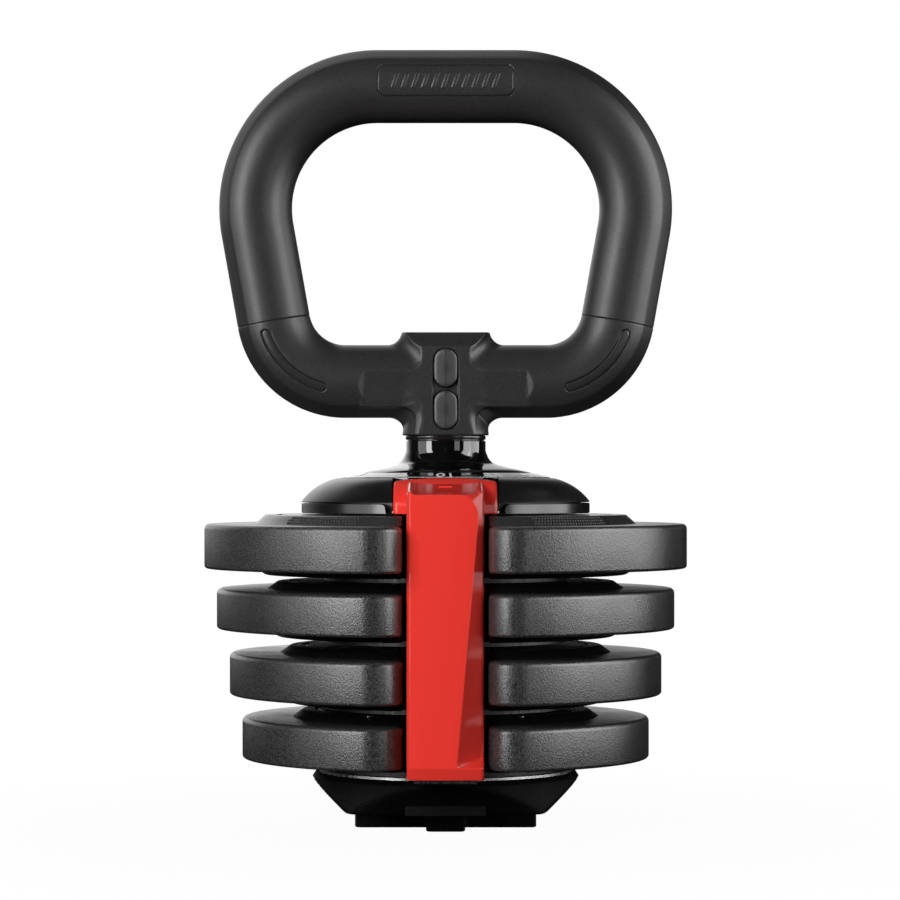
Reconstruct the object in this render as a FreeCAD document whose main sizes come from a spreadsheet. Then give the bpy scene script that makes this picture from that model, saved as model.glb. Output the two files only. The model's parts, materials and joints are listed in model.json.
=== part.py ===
"""Kettlebell with a selectable weight: a handle, a dial, a stack of slotted plates and a base.

Frame: millimetres, +Z up, origin on the turning axis at the height of the foot's sole. The column is at -Y.
"""

import FreeCAD, Part
import math
import os

import Sketcher
from FreeCAD import Placement, Rotation, Vector

DOC = FreeCAD.newDocument("kettlebell")
SHEET_NAME = "sizes"
FRONT, BACK = -1, 1


class Size:
    """A length that holds both its sheet formula and its present value."""

    def __init__(self, formula, value):
        self.formula = formula
        self.value = value

    def __add__(self, other):
        other = as_size(other)
        return Size(f"({self.formula} + {other.formula})", self.value + other.value)

    def __sub__(self, other):
        other = as_size(other)
        return Size(f"({self.formula} - {other.formula})", self.value - other.value)

    def __mul__(self, other):
        other = as_size(other)
        return Size(f"({self.formula} * {other.formula})", self.value * other.value)

    def __truediv__(self, other):
        other = as_size(other)
        return Size(f"({self.formula} / {other.formula})", self.value / other.value)

    def __radd__(self, other):
        return as_size(other) + self

    def __rsub__(self, other):
        return as_size(other) - self

    def __rmul__(self, other):
        return as_size(other) * self

    def __neg__(self):
        return Size(f"(0 - {self.formula})", -self.value)


def as_size(number):
    """Any plain number as a Size."""
    return number if isinstance(number, Size) else Size(f"{float(number):.6f}", float(number))


def root(size):
    """The square root of a Size."""
    return Size(f"sqrt({size.formula})", math.sqrt(size.value))


def side_of(hypotenuse, other_side):
    """The second short side of a right triangle."""
    return root(hypotenuse * hypotenuse - other_side * other_side)


# ------------------------------------------------------------------ driving dimensions

DIMENSIONS = {
    # handle
    "grip_radius": 16.75,
    "grip_bore": 11.3,
    "frame_radius": 11.0,
    "frame_bore": 8.5,
    "crease_offset": 11.5,
    "ridge_half": 2.5,
    "bar_height": 340.35,
    "top_centre_x": 31.3,
    "top_bend": 56.1,
    "crossbar_height": 204.7,
    "low_centre_x": 46.2,
    "low_bend": 33.35,
    # handle boss
    "boss_bottom": 179.9,
    "boss_top": 227.1,
    "boss_bevel": 220.3,
    "boss_foot_radius": 19.8,
    "boss_waist_radius": 18.6,
    "boss_flat": 15.2,
    "boss_ridge": 8.0,
    "flat_half_length": 36.3,
    "button_width": 10.6,
    "button_height": 17.6,
    "button_proud": 2.6,
    "upper_button": 210.55,
    "lower_button": 191.4,
    "latch_thickness": 4.0,
    "latch_half_width": 12.0,
    "latch_eye": 10.3,
    "latch_rest": 2.0,
    # spigot, neck and dial
    "spigot_radius": 10.0,
    "groove_radius": 8.0,
    "spigot_top": 221.0,
    "neck_radius": 18.4,
    "neck_top": 177.4,
    "dial_radius": 48.3,
    "dial_edge": 160.6,
    "shaft_flats": 14.0,
    # shroud and column
    "shroud_radius": 66.2,
    "shroud_shoulder": 149.7,
    "band_bottom": 144.3,
    "deck_height": 156.0,
    "wing_half": 23.3,
    "column_half": 16.9,
    "column_front": 92.0,
    "column_back": 60.0,
    "column_top": 153.1,
    "column_bottom": 29.0,
    # plates, from the top down
    "slot_half": 18.8,
    "mouth_radius": 13.0,
    "edge_round": 2.3,
    "hub_inset": 23.3,
    "hub_slope": 4.6,
    "radius_one": 110.75,
    "radius_two": 105.0,
    "radius_three": 99.1,
    "radius_four": 93.3,
    "bottom_one": 119.1,
    "bottom_two": 91.5,
    "bottom_three": 61.4,
    "bottom_four": 32.4,
    "top_one": 139.4,
    "top_two": 110.0,
    "top_three": 80.6,
    "top_four": 51.3,
    "hub_low_one": 116.2,
    "hub_low_two": 88.0,
    "hub_low_three": 57.7,
    "hub_low_four": 30.0,
    "hub_high_one": 143.6,
    "hub_high_two": 113.25,
    "hub_high_three": 83.95,
    "hub_high_four": 54.5,
    # selector discs
    "disc_radius": 56.0,
    "rib_inner": 51.0,
    "disc_drop": 0.3,
    "disc_thickness": 2.3,
    "disc_web": 1.1,
    "lug_reach": 1.2,
    # core
    "spool_radius": 18.2,
    "spool_bore": 8.6,
    "flange_radius": 24.0,
    "web_half": 15.0,
    # base
    "base_rim": 61.1,
    "base_top": 26.0,
    "base_bottom": 9.75,
    "base_foot_half": 45.3,
    "sole_half": 41.6,
}

# The dial's settings, as the angle from the rest setting at which each one meets the pointer.
SETTINGS = {4: 60, 7: 30, 10: 0, 12: -30, 15: -60, 18: -90}
# The settings at which each plate is left behind, so that its disc has a gap there.
RELEASED_AT = {"one": (4, 7, 10), "two": (4, 7, 10), "three": (4, 7, 12, 15), "four": (4, 12)}
PLATES = ("one", "two", "three", "four")
PLATE_NUMBER = {"one": 1, "two": 2, "three": 3, "four": 4}
# Where the plates' lugs stand, as an angle from +X, and half the width of a disc's gap for a lug.
LUG_ANGLE, GAP_HALF = 90, 6.6


def polar(radius, degrees):
    """A point in the horizontal plane, from its distance to the axis and its angle from +X."""
    turn = math.radians(degrees)
    return radius * math.cos(turn), radius * math.sin(turn)


# The detent ball and the stop pin stand in the shroud's deck, under the dial.
DETENT_RING, DETENT_ANGLE = 40.0, 210
STOP_RING, STOP_ANGLE = 30.0, 90
DETENT_PLACE = polar(DETENT_RING, DETENT_ANGLE)
STOP_PLACE = polar(STOP_RING, STOP_ANGLE)


def make_sheet():
    """The spreadsheet of driving dimensions, one alias for each."""
    sheet = DOC.addObject("Spreadsheet::Sheet", SHEET_NAME)
    for row, (alias, number) in enumerate(DIMENSIONS.items(), start=1):
        sheet.set(f"A{row}", alias)
        sheet.set(f"B{row}", str(number))
        sheet.setAlias(f"B{row}", alias)
    DOC.recompute()


def dim(alias):
    """A driving dimension by its alias."""
    return Size(f"<<{SHEET_NAME}>>.{alias}", DIMENSIONS[alias])


def bind(owner, path, size):
    """Sets a property from a Size: its formula if it has one, else its plain value."""
    size = as_size(size)
    if "<<" in size.formula or "." in path:
        owner.setExpression(path, size.formula)
    else:
        setattr(owner, path, size.value)


# ------------------------------------------------------------------ sketches and features


def plane_of(body, role):
    """An origin plane of a body, by its role."""
    return next(item for item in body.Origin.OriginFeatures if item.Role == role)


def new_sketch(body, label, role, lift=0):
    """An empty sketch on one of the body's origin planes, lifted along its normal."""
    sketch = body.newObject("Sketcher::SketchObject", label)
    sketch.AttachmentSupport = [(plane_of(body, role), "")]
    sketch.MapMode = "FlatFace"
    sketch.AttachmentOffset = Placement(Vector(0, 0, as_size(lift).value), Rotation())
    if isinstance(lift, Size):
        sketch.setExpression("AttachmentOffset.Base.z", lift.formula)
    return sketch


def arc_edge(start, stop, radius):
    """The short arc from start to stop; its centre is on the left if the radius is positive."""
    chord = stop - start
    left = Vector(-chord.y, chord.x, 0).normalize()
    height = math.sqrt(max(radius * radius - chord.Length**2 / 4, 0))
    centre = (start + stop) * 0.5 + left * (height if radius > 0 else -height)
    first = math.atan2(start.y - centre.y, start.x - centre.x)
    last = math.atan2(stop.y - centre.y, stop.x - centre.x)
    circle = Part.Circle(centre, Vector(0, 0, 1), abs(radius))
    if radius > 0:
        return Part.ArcOfCircle(circle, first, last), (1, 2)
    return Part.ArcOfCircle(circle, last, first), (2, 1)


def draw_outline(sketch, corners, arcs=None, closed=True):
    """Joins the corners by lines, or by arcs where arcs gives a signed radius for that edge."""
    arcs = arcs or {}
    corners = [(as_size(across), as_size(up)) for across, up in corners]
    points = [Vector(across.value, up.value, 0) for across, up in corners]
    count = len(corners) if closed else len(corners) - 1
    ends = []
    for index in range(count):
        start, stop = points[index], points[(index + 1) % len(points)]
        if index in arcs:
            edge, order = arc_edge(start, stop, as_size(arcs[index]).value)
        else:
            edge, order = Part.LineSegment(start, stop), (1, 2)
        sketch.addGeometry(edge, False)
        ends.append(order)
    rules = []
    for index in range(count if closed else count - 1):
        following = (index + 1) % count
        join = Sketcher.Constraint("Coincident", index, ends[index][1], following, ends[following][0])
        rules.append((join, None))
    for index, corner in enumerate(corners):
        edge, end = (index, ends[index][0]) if index < count else (index - 1, ends[index - 1][1])
        for kind, size in zip(("DistanceX", "DistanceY"), corner):
            rules.append((Sketcher.Constraint(kind, -1, 1, edge, end, size.value), size))
    for index, radius in arcs.items():
        size = as_size(radius)
        size = -size if size.value < 0 else size
        rules.append((Sketcher.Constraint("Radius", index, size.value), size))
    numbers = sketch.addConstraint([rule for rule, _ in rules])
    for number, (_, size) in zip(numbers, rules):
        if size is not None and "<<" in size.formula:
            sketch.setExpression(f"Constraints[{number}]", size.formula)


def new_body(label):
    """An empty body whose label names its piece."""
    body = DOC.addObject("PartDesign::Body", label)
    body.Label = label
    return body


def lathe(label, corners, arcs=None):
    """A solid of revolution about Z, from an outline of (radius, height) corners."""
    body = new_body(label)
    sketch = new_sketch(body, label + "_profile", "XZ_Plane")
    draw_outline(sketch, corners, arcs)
    turned = body.newObject("PartDesign::Revolution", label + "_turn")
    turned.Profile = sketch
    turned.ReferenceAxis = (sketch, ["V_Axis"])
    turned.Angle = 360
    return body


def prism(label, role, corners, lift, length, arcs=None):
    """A pad of an outline from lift to lift + length along the plane's normal."""
    body = new_body(label)
    sketch = new_sketch(body, label + "_outline", role, lift)
    draw_outline(sketch, corners, arcs)
    pad = body.newObject("PartDesign::Pad", label + "_pad")
    pad.Profile = sketch
    bind(pad, "Length", length)
    return body


def box(label, low, high):
    """A box between two corners."""
    solid = DOC.addObject("Part::Box", label)
    solid.Label = label
    for name, axis, start, stop in zip(("Length", "Width", "Height"), "xyz", low, high):
        bind(solid, name, as_size(stop) - as_size(start))
        bind(solid, f"Placement.Base.{axis}", as_size(start))
    return solid


def rod(label, radius, base, length, direction="z"):
    """A cylinder from a base point along +X, +Y or +Z."""
    solid = DOC.addObject("Part::Cylinder", label)
    solid.Label = label
    turns = {"z": Rotation(), "y": Rotation(Vector(1, 0, 0), -90), "x": Rotation(Vector(0, 1, 0), 90)}
    solid.Placement = Placement(Vector(), turns[direction])
    bind(solid, "Radius", radius)
    bind(solid, "Height", length)
    for axis, place in zip("xyz", base):
        bind(solid, f"Placement.Base.{axis}", as_size(place))
    return solid


def fuse(label, *solids):
    """One solid from several."""
    whole = DOC.addObject("Part::MultiFuse", label)
    whole.Label = label
    whole.Shapes = list(solids)
    whole.Refine = True
    return whole


def cut(label, base, *tools):
    """A solid less its tools."""
    tool = tools[0] if len(tools) == 1 else fuse(label + "_tools", *tools)
    rest = DOC.addObject("Part::Cut", label)
    rest.Label = label
    rest.Base = base
    rest.Tool = tool
    rest.Refine = True
    return rest


def common(label, *solids):
    """What several solids share."""
    shared = DOC.addObject("Part::MultiCommon", label)
    shared.Label = label
    shared.Shapes = list(solids)
    shared.Refine = True
    return shared


def group(label, *solids):
    """Several separate solids in one piece, such as a set of screws."""
    members = DOC.addObject("Part::Compound", label)
    members.Label = label
    members.Links = list(solids)
    return members


def round_edges(body, label, radius, wanted):
    """Rounds the edges of a body's tip for which wanted(edge) is true."""
    DOC.recompute()
    tip = body.Tip
    names = [f"Edge{number}" for number, edge in enumerate(tip.Shape.Edges, start=1) if wanted(edge)]
    fillet = body.newObject("PartDesign::Fillet", label)
    fillet.Base = (tip, names)
    bind(fillet, "Radius", radius)
    return fillet


def lies_at(height):
    """A test for edges that lie flat at one height."""
    level = as_size(height).value

    def test(edge):
        box_of = edge.BoundBox
        return abs(box_of.ZMin - level) < 1e-4 and abs(box_of.ZMax - level) < 1e-4

    return test


# ------------------------------------------------------------------ handle


def tangent_points():
    """Where the handle's straight leg meets its two bends, as offsets from their centres."""
    across = DIMENSIONS["low_centre_x"] - DIMENSIONS["top_centre_x"]
    low_centre_z = DIMENSIONS["crossbar_height"] + DIMENSIONS["low_bend"]
    top_centre_z = DIMENSIONS["bar_height"] - DIMENSIONS["top_bend"]
    down = top_centre_z - low_centre_z
    spread = math.hypot(across, down)
    lean = math.asin((DIMENSIONS["top_bend"] - DIMENSIONS["low_bend"]) / spread) - math.atan2(across, down)
    return math.cos(lean), -math.sin(lean)


def handle_path(body, label, stops):
    """Half of the handle's centreline, from the middle of the top bar or of the crossbar outwards."""
    normal_x, normal_z = tangent_points()
    top_x, top_r = dim("top_centre_x"), dim("top_bend")
    low_x, low_r = dim("low_centre_x"), dim("low_bend")
    top_z, low_z = dim("bar_height") - top_r, dim("crossbar_height") + low_r
    bend_end = (top_x + top_r * normal_x, top_z + top_r * normal_z)
    seam = (low_x + low_r * normal_x, low_z + low_r * normal_z)
    sketch = new_sketch(body, label, "XZ_Plane")
    upper = [(0, dim("bar_height")), (top_x, dim("bar_height")), bend_end, seam]
    lower = [(0, dim("crossbar_height")), (low_x, dim("crossbar_height")), seam]
    if stops == "seam_from_top":
        draw_outline(sketch, upper, {1: -top_r}, closed=False)
    elif stops == "seam_from_crossbar":
        draw_outline(sketch, lower, {1: low_r}, closed=False)
    else:
        whole = upper + [(low_x, dim("crossbar_height")), (dim("web_half"), dim("crossbar_height"))]
        draw_outline(sketch, whole, {1: -top_r, 3: -low_r}, closed=False)
    return sketch


def grip_section(sketch, height, outward):
    """The grip's section: round, with two flats that meet near its outer edge."""
    radius, crease, ridge = dim("grip_radius"), dim("crease_offset"), dim("ridge_half")
    crease_y = side_of(radius, crease)
    corners = [
        (ridge * outward, height + radius * outward),
        (-ridge * outward, height + radius * outward),
        (-crease_y * outward, height + crease * outward),
        (0, height - radius * outward),
        (crease_y * outward, height + crease * outward),
    ]
    draw_outline(sketch, corners, {2: radius, 3: radius})


def ring_section(sketch, height, outer, inner=None):
    """A round section, solid or with a bore."""
    for radius in (outer,) if inner is None else (outer, inner):
        circle = Part.Circle(Vector(0, height.value, 0), Vector(0, 0, 1), as_size(radius).value)
        number = sketch.addGeometry(circle, False)
        rules = [
            (Sketcher.Constraint("DistanceX", -1, 1, number, 3, 0.0), None),
            (Sketcher.Constraint("DistanceY", -1, 1, number, 3, height.value), height),
            (Sketcher.Constraint("Radius", number, as_size(radius).value), radius),
        ]
        for place, (_, size) in zip(sketch.addConstraint([rule for rule, _ in rules]), rules):
            if size is not None:
                sketch.setExpression(f"Constraints[{place}]", size.formula)


def draw_bore(sketch, height):
    """The section of the room for the steel frame."""
    ring_section(sketch, height, dim("grip_bore"))


def swept_half(label, stops, height, draw_section):
    """A body swept along half of the handle and mirrored to the other half."""
    body = new_body(label)
    path = handle_path(body, label + "_path", stops)
    section = new_sketch(body, label + "_section", "YZ_Plane")
    draw_section(section, height)
    pipe = body.newObject("PartDesign::AdditivePipe", label + "_pipe")
    pipe.Profile = section
    pipe.Spine = (path, [f"Edge{number}" for number in range(1, path.GeometryCount + 1)])
    mirror = body.newObject("PartDesign::Mirrored", label + "_mirror")
    mirror.Originals = [pipe]
    mirror.MirrorPlane = (plane_of(body, "YZ_Plane"), [""])
    body.Tip = mirror
    return body


def half_space(label, side):
    """A box that holds everything in front of, or behind, the handle's middle plane."""
    low, high = (-60, 0) if side == FRONT else (0, 60)
    return box(label, (-150, low, 100), (150, high, 400))


def make_grip():
    """The upper grip: two half shells around the steel frame, and the badge plate."""
    bar = dim("bar_height")
    whole = swept_half("grip_whole", "seam_from_top", bar, lambda sketch, z: grip_section(sketch, z, 1))
    bore = swept_half("grip_core", "seam_from_top", bar, draw_bore)
    badge_low = (-30.6, -dim("grip_radius") - 1, bar - 7.6)
    badge_high = (30.6, 1.6 - dim("grip_radius"), bar + 6.2)
    badge_pocket = box("badge_pocket", badge_low, badge_high)
    front = cut("grip_shell_front", whole, bore, badge_pocket, half_space("grip_split_front", BACK))
    back = cut("grip_shell_back", whole, bore, half_space("grip_split_back", FRONT))
    plate_body = prism(
        "badge_blank",
        "XZ_Plane",
        [(-30.3, bar - 7.3), (30.3, bar - 7.3), (30.3, bar + 5.9), (-30.3, bar + 5.9)],
        dim("grip_radius") - 1.6,
        1.5,
    )
    round_edges(plate_body, "badge_corners", 3.0, lambda edge: edge.BoundBox.YLength > 1.4)
    plate = common("badge_plate", plate_body, whole)
    return [front, back, plate]


def latch_box(label, centre, half_width, front, rear, half_height):
    """A box around a latch plate's height."""
    return box(label, (-half_width, front, centre - half_height), (half_width, rear, centre + half_height))


def pill(label, centre, margin, start, stop):
    """An upright rounded slot shape through the boss's front, from start back to stop along +Y."""
    half_width = dim("button_width") / 2 + margin
    half_height = dim("button_height") / 2 + margin
    shoulder = half_height - half_width
    corners = [
        (-half_width, centre + shoulder),
        (-half_width, centre - shoulder),
        (0, centre - half_height),
        (half_width, centre - shoulder),
        (half_width, centre + shoulder),
        (0, centre + half_height),
    ]
    arcs = {1: half_width, 2: half_width, 4: half_width, 5: half_width}
    return prism(label, "XZ_Plane", corners, -as_size(stop), as_size(stop) - as_size(start), arcs)


def make_boss_blank():
    """The outside of the boss that carries the buttons."""
    foot, waist = dim("boss_foot_radius"), dim("boss_waist_radius")
    low, high, bevel = dim("boss_bottom"), dim("boss_top"), dim("boss_bevel")
    turned = lathe(
        "boss_turned",
        [(0, low), (foot, low), (waist, low + 4), (waist, bevel - 4), (foot, high), (0, high)],
    )
    flat, ridge = dim("boss_flat"), dim("boss_ridge")
    side = prism(
        "boss_side",
        "YZ_Plane",
        [(-flat, low), (flat, low), (flat, bevel), (ridge, high), (-ridge, high), (-flat, bevel)],
        -foot - 5,
        foot * 2 + 10,
    )
    return common("boss_blank", turned, side)


def make_yoke():
    """The lower yoke: two half shells that hold the socket, and the inlays and screws on them."""
    bar = dim("crossbar_height")
    low, high = dim("boss_bottom"), dim("boss_top")
    flat, length = dim("boss_flat"), dim("flat_half_length")
    pipe = swept_half("yoke_pipe", "seam_from_crossbar", bar, lambda sketch, z: grip_section(sketch, z, -1))
    bore = swept_half("yoke_core", "seam_from_crossbar", bar, draw_bore)
    facings = [
        box("facing_front", (-length, -flat - 5, bar - 40), (length, -flat, bar + 40)),
        box("facing_back", (-length, flat, bar - 40), (length, flat + 5, bar + 40)),
    ]
    whole = cut("yoke_whole", fuse("yoke_joined", pipe, make_boss_blank()), *facings)
    cavity = common(
        "socket_cavity",
        rod("socket_round", dim("boss_waist_radius") - 3, (0, 0, low + 2), high - low - 5),
        box("socket_flats", (-20, 3 - flat, low), (20, flat - 3, high)),
    )
    mouth = rod("spigot_mouth", dim("spigot_radius") + 0.3, (0, 0, low - 1), 4)
    half_width = dim("latch_half_width") + 0.3
    tools = [bore, cavity, mouth]
    for name in ("upper", "lower"):
        centre = dim(f"{name}_button")
        tools.append(latch_box(f"{name}_latch_room", centre, half_width, -flat + 1.1, flat - 1.6, 2.3))
        tools.append(pill(f"{name}_button_hole", centre, 0.3, -flat - 1, -flat + 4))
    hollow = cut("yoke_hollow", whole, *tools)
    inlays, recesses = make_inlays(whole)
    front = cut("yoke_shell_front", hollow, half_space("yoke_split_front", BACK), *recesses)
    screws, holes = make_yoke_screws()
    back = cut("yoke_shell_back", hollow, half_space("yoke_split_back", FRONT), *holes)
    return [front, back, inlays, screws]


def make_inlays(whole):
    """The two curved inlay strips on the yoke's front corners, and the recesses they sit in."""
    pieces, recesses = [], []
    middle, half = 37.7, 1.85
    centre_x, centre_z = dim("low_centre_x"), dim("crossbar_height") + dim("low_bend")
    for side, name in ((-1, "left"), (1, "right")):
        for margin, keep in ((0, pieces), (0.15, recesses)):
            radii = (middle - half - margin, middle + half + margin)
            corners = []
            for radius, angle in zip((radii[0], radii[1], radii[1], radii[0]), (-74, -74, -19, -19)):
                turn = math.radians(angle)
                across, up = radius * math.cos(turn), radius * math.sin(turn)
                corners.append((side * (centre_x + across), centre_z + up))
            cap = side * (half + margin + 0.01)
            arcs = {0: cap, 1: side * radii[1], 2: cap, 3: -side * radii[0]}
            kind = "cut" if margin else "pad"
            keep.append(prism(f"inlay_{name}_{kind}", "XZ_Plane", corners, 10, 6.0, arcs))
    depth_of_skin = swept_half(
        "inlay_depth",
        "seam_from_crossbar",
        dim("crossbar_height"),
        lambda sketch, z: ring_section(sketch, z, dim("grip_radius") - 1.2),
    )
    room = cut("inlay_skin", whole, depth_of_skin)
    strips = common("corner_inlays", group("inlay_blanks", *pieces), room)
    depth = common("inlay_recess", group("inlay_cuts", *recesses), room)
    return strips, [depth]


def make_yoke_screws():
    """Four countersunk screws that close the yoke from behind, and their holes."""
    places = [(-52.0, 199.0), (-28.0, 204.7), (28.0, 204.7), (52.0, 199.0)]
    screws, holes = [], []
    for number, (across, height) in enumerate(places, start=1):
        back = math.sqrt(DIMENSIONS["grip_radius"] ** 2 - (height - DIMENSIONS["crossbar_height"]) ** 2)
        seat = min(back, DIMENSIONS["boss_flat"]) - 2.6
        head = rod(f"yoke_screw_head_{number}", 3.2, (across, seat, height), 1.8, "y")
        start = dim("grip_bore") + 0.1
        shank = rod(f"yoke_screw_shank_{number}", 1.6, (across, start, height), seat - start, "y")
        screws.append(fuse(f"yoke_screw_{number}", head, shank))
        holes.append(rod(f"yoke_screw_seat_{number}", 3.2, (across, seat, height), 8, "y"))
        holes.append(rod(f"yoke_screw_hole_{number}", 1.6, (across, 8, height), seat - 7.9, "y"))
    return group("yoke_screws", *screws), holes


def make_handle_frame():
    """The bent steel tube inside the grip, and the steel socket that the tube is joined to."""
    bar = dim("bar_height")
    tube = swept_half(
        "handle_frame",
        "whole",
        bar,
        lambda sketch, z: ring_section(sketch, z, dim("frame_radius"), dim("frame_bore")),
    )
    low, high, flat = dim("boss_bottom") + 2.1, dim("boss_top") - 3.2, dim("boss_flat")
    web = dim("web_half")
    blank = common(
        "socket_blank",
        rod("socket_outside", dim("boss_waist_radius") - 3.05, (0, 0, low), high - low),
        box("socket_sides", (-web, 4.0 - flat, low), (web, flat - 3.05, high)),
    )
    tools = [rod("socket_bore", dim("spigot_radius") + 0.05, (0, 0, low - 1), dim("spigot_top") - low + 1.2)]
    for name in ("upper", "lower"):
        half_width = dim("latch_half_width") + 0.3
        tools.append(latch_box(f"{name}_latch_slot", dim(f"{name}_button"), half_width, -20, 20, 2.3))
    return [tube, cut("handle_socket", blank, *tools)]


def make_button(name):
    """A release button with its stem, the latch plate that it pushes and the leaf spring behind that."""
    centre = dim(f"{name}_button")
    flat, rest, eye = dim("boss_flat"), dim("latch_rest"), dim("latch_eye")
    plate_front = 1.3 - flat
    plate_back = eye - rest + 2.5
    button = pill(f"button_{name}", centre, 0, -flat - dim("button_proud"), plate_front)
    round_edges(
        button,
        f"button_{name}_crown",
        1.2,
        lambda edge: edge.BoundBox.YMax < -DIMENSIONS["boss_flat"] - DIMENSIONS["button_proud"] + 1e-3,
    )
    half = dim("latch_thickness") / 2
    blank = latch_box(f"latch_{name}_blank", centre, dim("latch_half_width"), plate_front, plate_back, half)
    latch = cut(f"latch_plate_{name}", blank, rod(f"latch_{name}_eye", eye, (0, -rest, centre - 5), 10))
    return [button, latch, make_leaf_spring(name, plate_back)]


def make_leaf_spring(name, plate_back):
    """A bowed spring strip between a latch plate and the shell behind it."""
    wall = dim("boss_flat") - 1.75
    gap = wall - plate_back - 0.1
    reach, strip = 9.0, 0.35
    corners = [
        (-reach, wall),
        (-reach, wall - strip),
        (0, wall - gap),
        (reach, wall - strip),
        (reach, wall),
        (0, wall - gap + strip),
    ]
    return prism(f"latch_spring_{name}", "XY_Plane", corners, dim(f"{name}_button") - 1.5, 3.0)


# ------------------------------------------------------------------ spigot, neck, dial and selector


def make_neck():
    """The glossy neck and dial in one moulding, its collar ring, the spigot and the set screw."""
    top, radius, edge = dim("neck_top"), dim("neck_radius"), dim("dial_edge")
    deck, bore = dim("deck_height"), dim("spigot_radius") + 0.02
    flare = dim("dial_radius") / 2 + 0.55
    corners = [
        (8.2, deck - 6),
        (14, deck - 6),
        (14, deck + 1.2),
        (dim("dial_radius") - 1.8, deck + 1.2),
        (dim("dial_radius"), edge - 2),
        (dim("dial_radius"), edge),
        (flare, edge + 5.8),
        (radius, edge + 12.6),
        (radius, top),
        (bore, top),
        (bore, deck + 8),
        (8.2, deck + 8),
    ]
    blank = lathe("neck_blank", corners, {6: -8.5})
    hole = rod("neck_screw_hole", 1.25, (0, -radius - 1, top - 3.9), radius - bore - 2 + 1, "y")
    neck = cut("dial_neck", blank, hole, make_stop_slot(deck + 1.2), *make_dimples(deck + 1.2))
    screw = rod("neck_set_screw", 1.2, (0, 0.5 - radius, top - 3.9), radius - bore - 2.6, "y")
    collar = lathe(
        "neck_collar",
        [
            (bore, top + 0.1),
            (radius - 0.6, top + 0.1),
            (radius - 0.6, top + 0.6),
            (radius, top + 0.9),
            (radius, top + 1.9),
            (bore, top + 1.9),
        ],
    )
    return [neck, collar, screw, make_spigot(deck + 8.05)]


def make_stop_slot(level):
    """The arc slot under the dial that the stop pin runs in, from the lowest setting to the highest."""
    spare, half = 5.0, 2.4
    first = STOP_ANGLE - max(SETTINGS.values()) - spare
    last = STOP_ANGLE - min(SETTINGS.values()) + spare
    inner, outer = STOP_RING - half, STOP_RING + half
    corners = [polar(inner, first), polar(outer, first), polar(outer, last), polar(inner, last)]
    return prism("stop_slot", "XY_Plane", corners, level - 1, 2.8, {1: outer, 3: -inner})


def make_dimples(level):
    """The shallow pits under the dial that the detent ball finds at each setting."""
    return [
        rod(f"dimple_{setting}", 1.3, (*polar(DETENT_RING, DETENT_ANGLE - angle), level - 1), 1.6)
        for setting, angle in SETTINGS.items()
    ]


def make_spigot(base):
    """The post that the handle drops on to, with a groove for each latch plate."""
    radius, groove, top = dim("spigot_radius"), dim("groove_radius"), dim("spigot_top")
    half = dim("latch_thickness") / 2 + 0.3
    corners = [(0, base), (radius, base)]
    for name in ("lower", "upper"):
        centre = dim(f"{name}_button")
        below, above = centre - half, centre + half
        corners += [(radius, below), (groove, below), (groove, above), (radius, above)]
    corners += [(radius, top - 2), (radius - 2, top), (0, top)]
    return lathe("handle_spigot", corners)


def disc_levels(name):
    """The bottom and top of a selector disc, which sits just under its plate's hub."""
    top = dim(f"hub_low_{name}") - dim("disc_drop")
    return top - dim("disc_thickness"), top


def hex_bar(label, flats, low, length):
    """An upright hexagonal bar."""
    bar = DOC.addObject("Part::Prism", label)
    bar.Label = label
    bar.Polygon = 6
    bind(bar, "Circumradius", flats / math.sqrt(3))
    bind(bar, "Height", length)
    bind(bar, "Placement.Base.z", as_size(low))
    return bar


def make_selector():
    """The hexagonal shaft, its end bolt and washer, and the four selector discs."""
    low, high = dim("base_bottom") + 7, dim("deck_height") + 8
    blank = hex_bar("shaft_blank", dim("shaft_flats"), low, high - low)
    disc = rod("washer_disc", 12, (0, 0, low - 1.6), 1.5)
    washer = cut("shaft_washer", disc, rod("washer_hole", 3.2, (0, 0, 0), 40))
    bolt = fuse(
        "shaft_bolt",
        rod("bolt_head", 5.5, (0, 0, low - 5.2), 3.5),
        rod("bolt_shank", 3.0, (0, 0, low - 2), 14),
    )
    shaft = cut("selector_shaft", blank, rod("bolt_hole", 3.0, (0, 0, low - 1), 13))
    return [shaft, washer, bolt] + [make_disc(name) for name in PLATES]


def make_disc(name):
    """A selector disc: a thin web with a raised rib at its rim, open where the plate is left behind."""
    low, high = disc_levels(name)
    web, outer, inner = low + dim("disc_web"), dim("disc_radius"), dim("rib_inner")
    hub = dim("spool_radius") + 2
    rib = [(outer, low), (outer, high), (inner, high), (inner, web)]
    blank = lathe(f"disc_{name}_blank", [(0, low)] + rib + [(hub, web), (hub, high), (0, high)])
    tools = [hex_bar(f"disc_{name}_bore", dim("shaft_flats") + 0.1, low - 1, 5)]
    for setting in RELEASED_AT[name]:
        angle = LUG_ANGLE - SETTINGS[setting]
        gap = box(f"disc_{name}_gap_{setting}", (0, 0, web), (15, GAP_HALF * 2, high + 1))
        gap.Placement = Placement(Vector(0, 0, web.value), Rotation(Vector(0, 0, 1), angle))
        start, shift = polar(46, angle), polar(GAP_HALF, angle - 90)
        for axis, along, across in zip("xy", start, shift):
            bind(gap, f"Placement.Base.{axis}", along + across)
        tools.append(gap)
    return cut(f"selector_disc_{PLATE_NUMBER[name]}", blank, *tools)


# ------------------------------------------------------------------ plates


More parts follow.
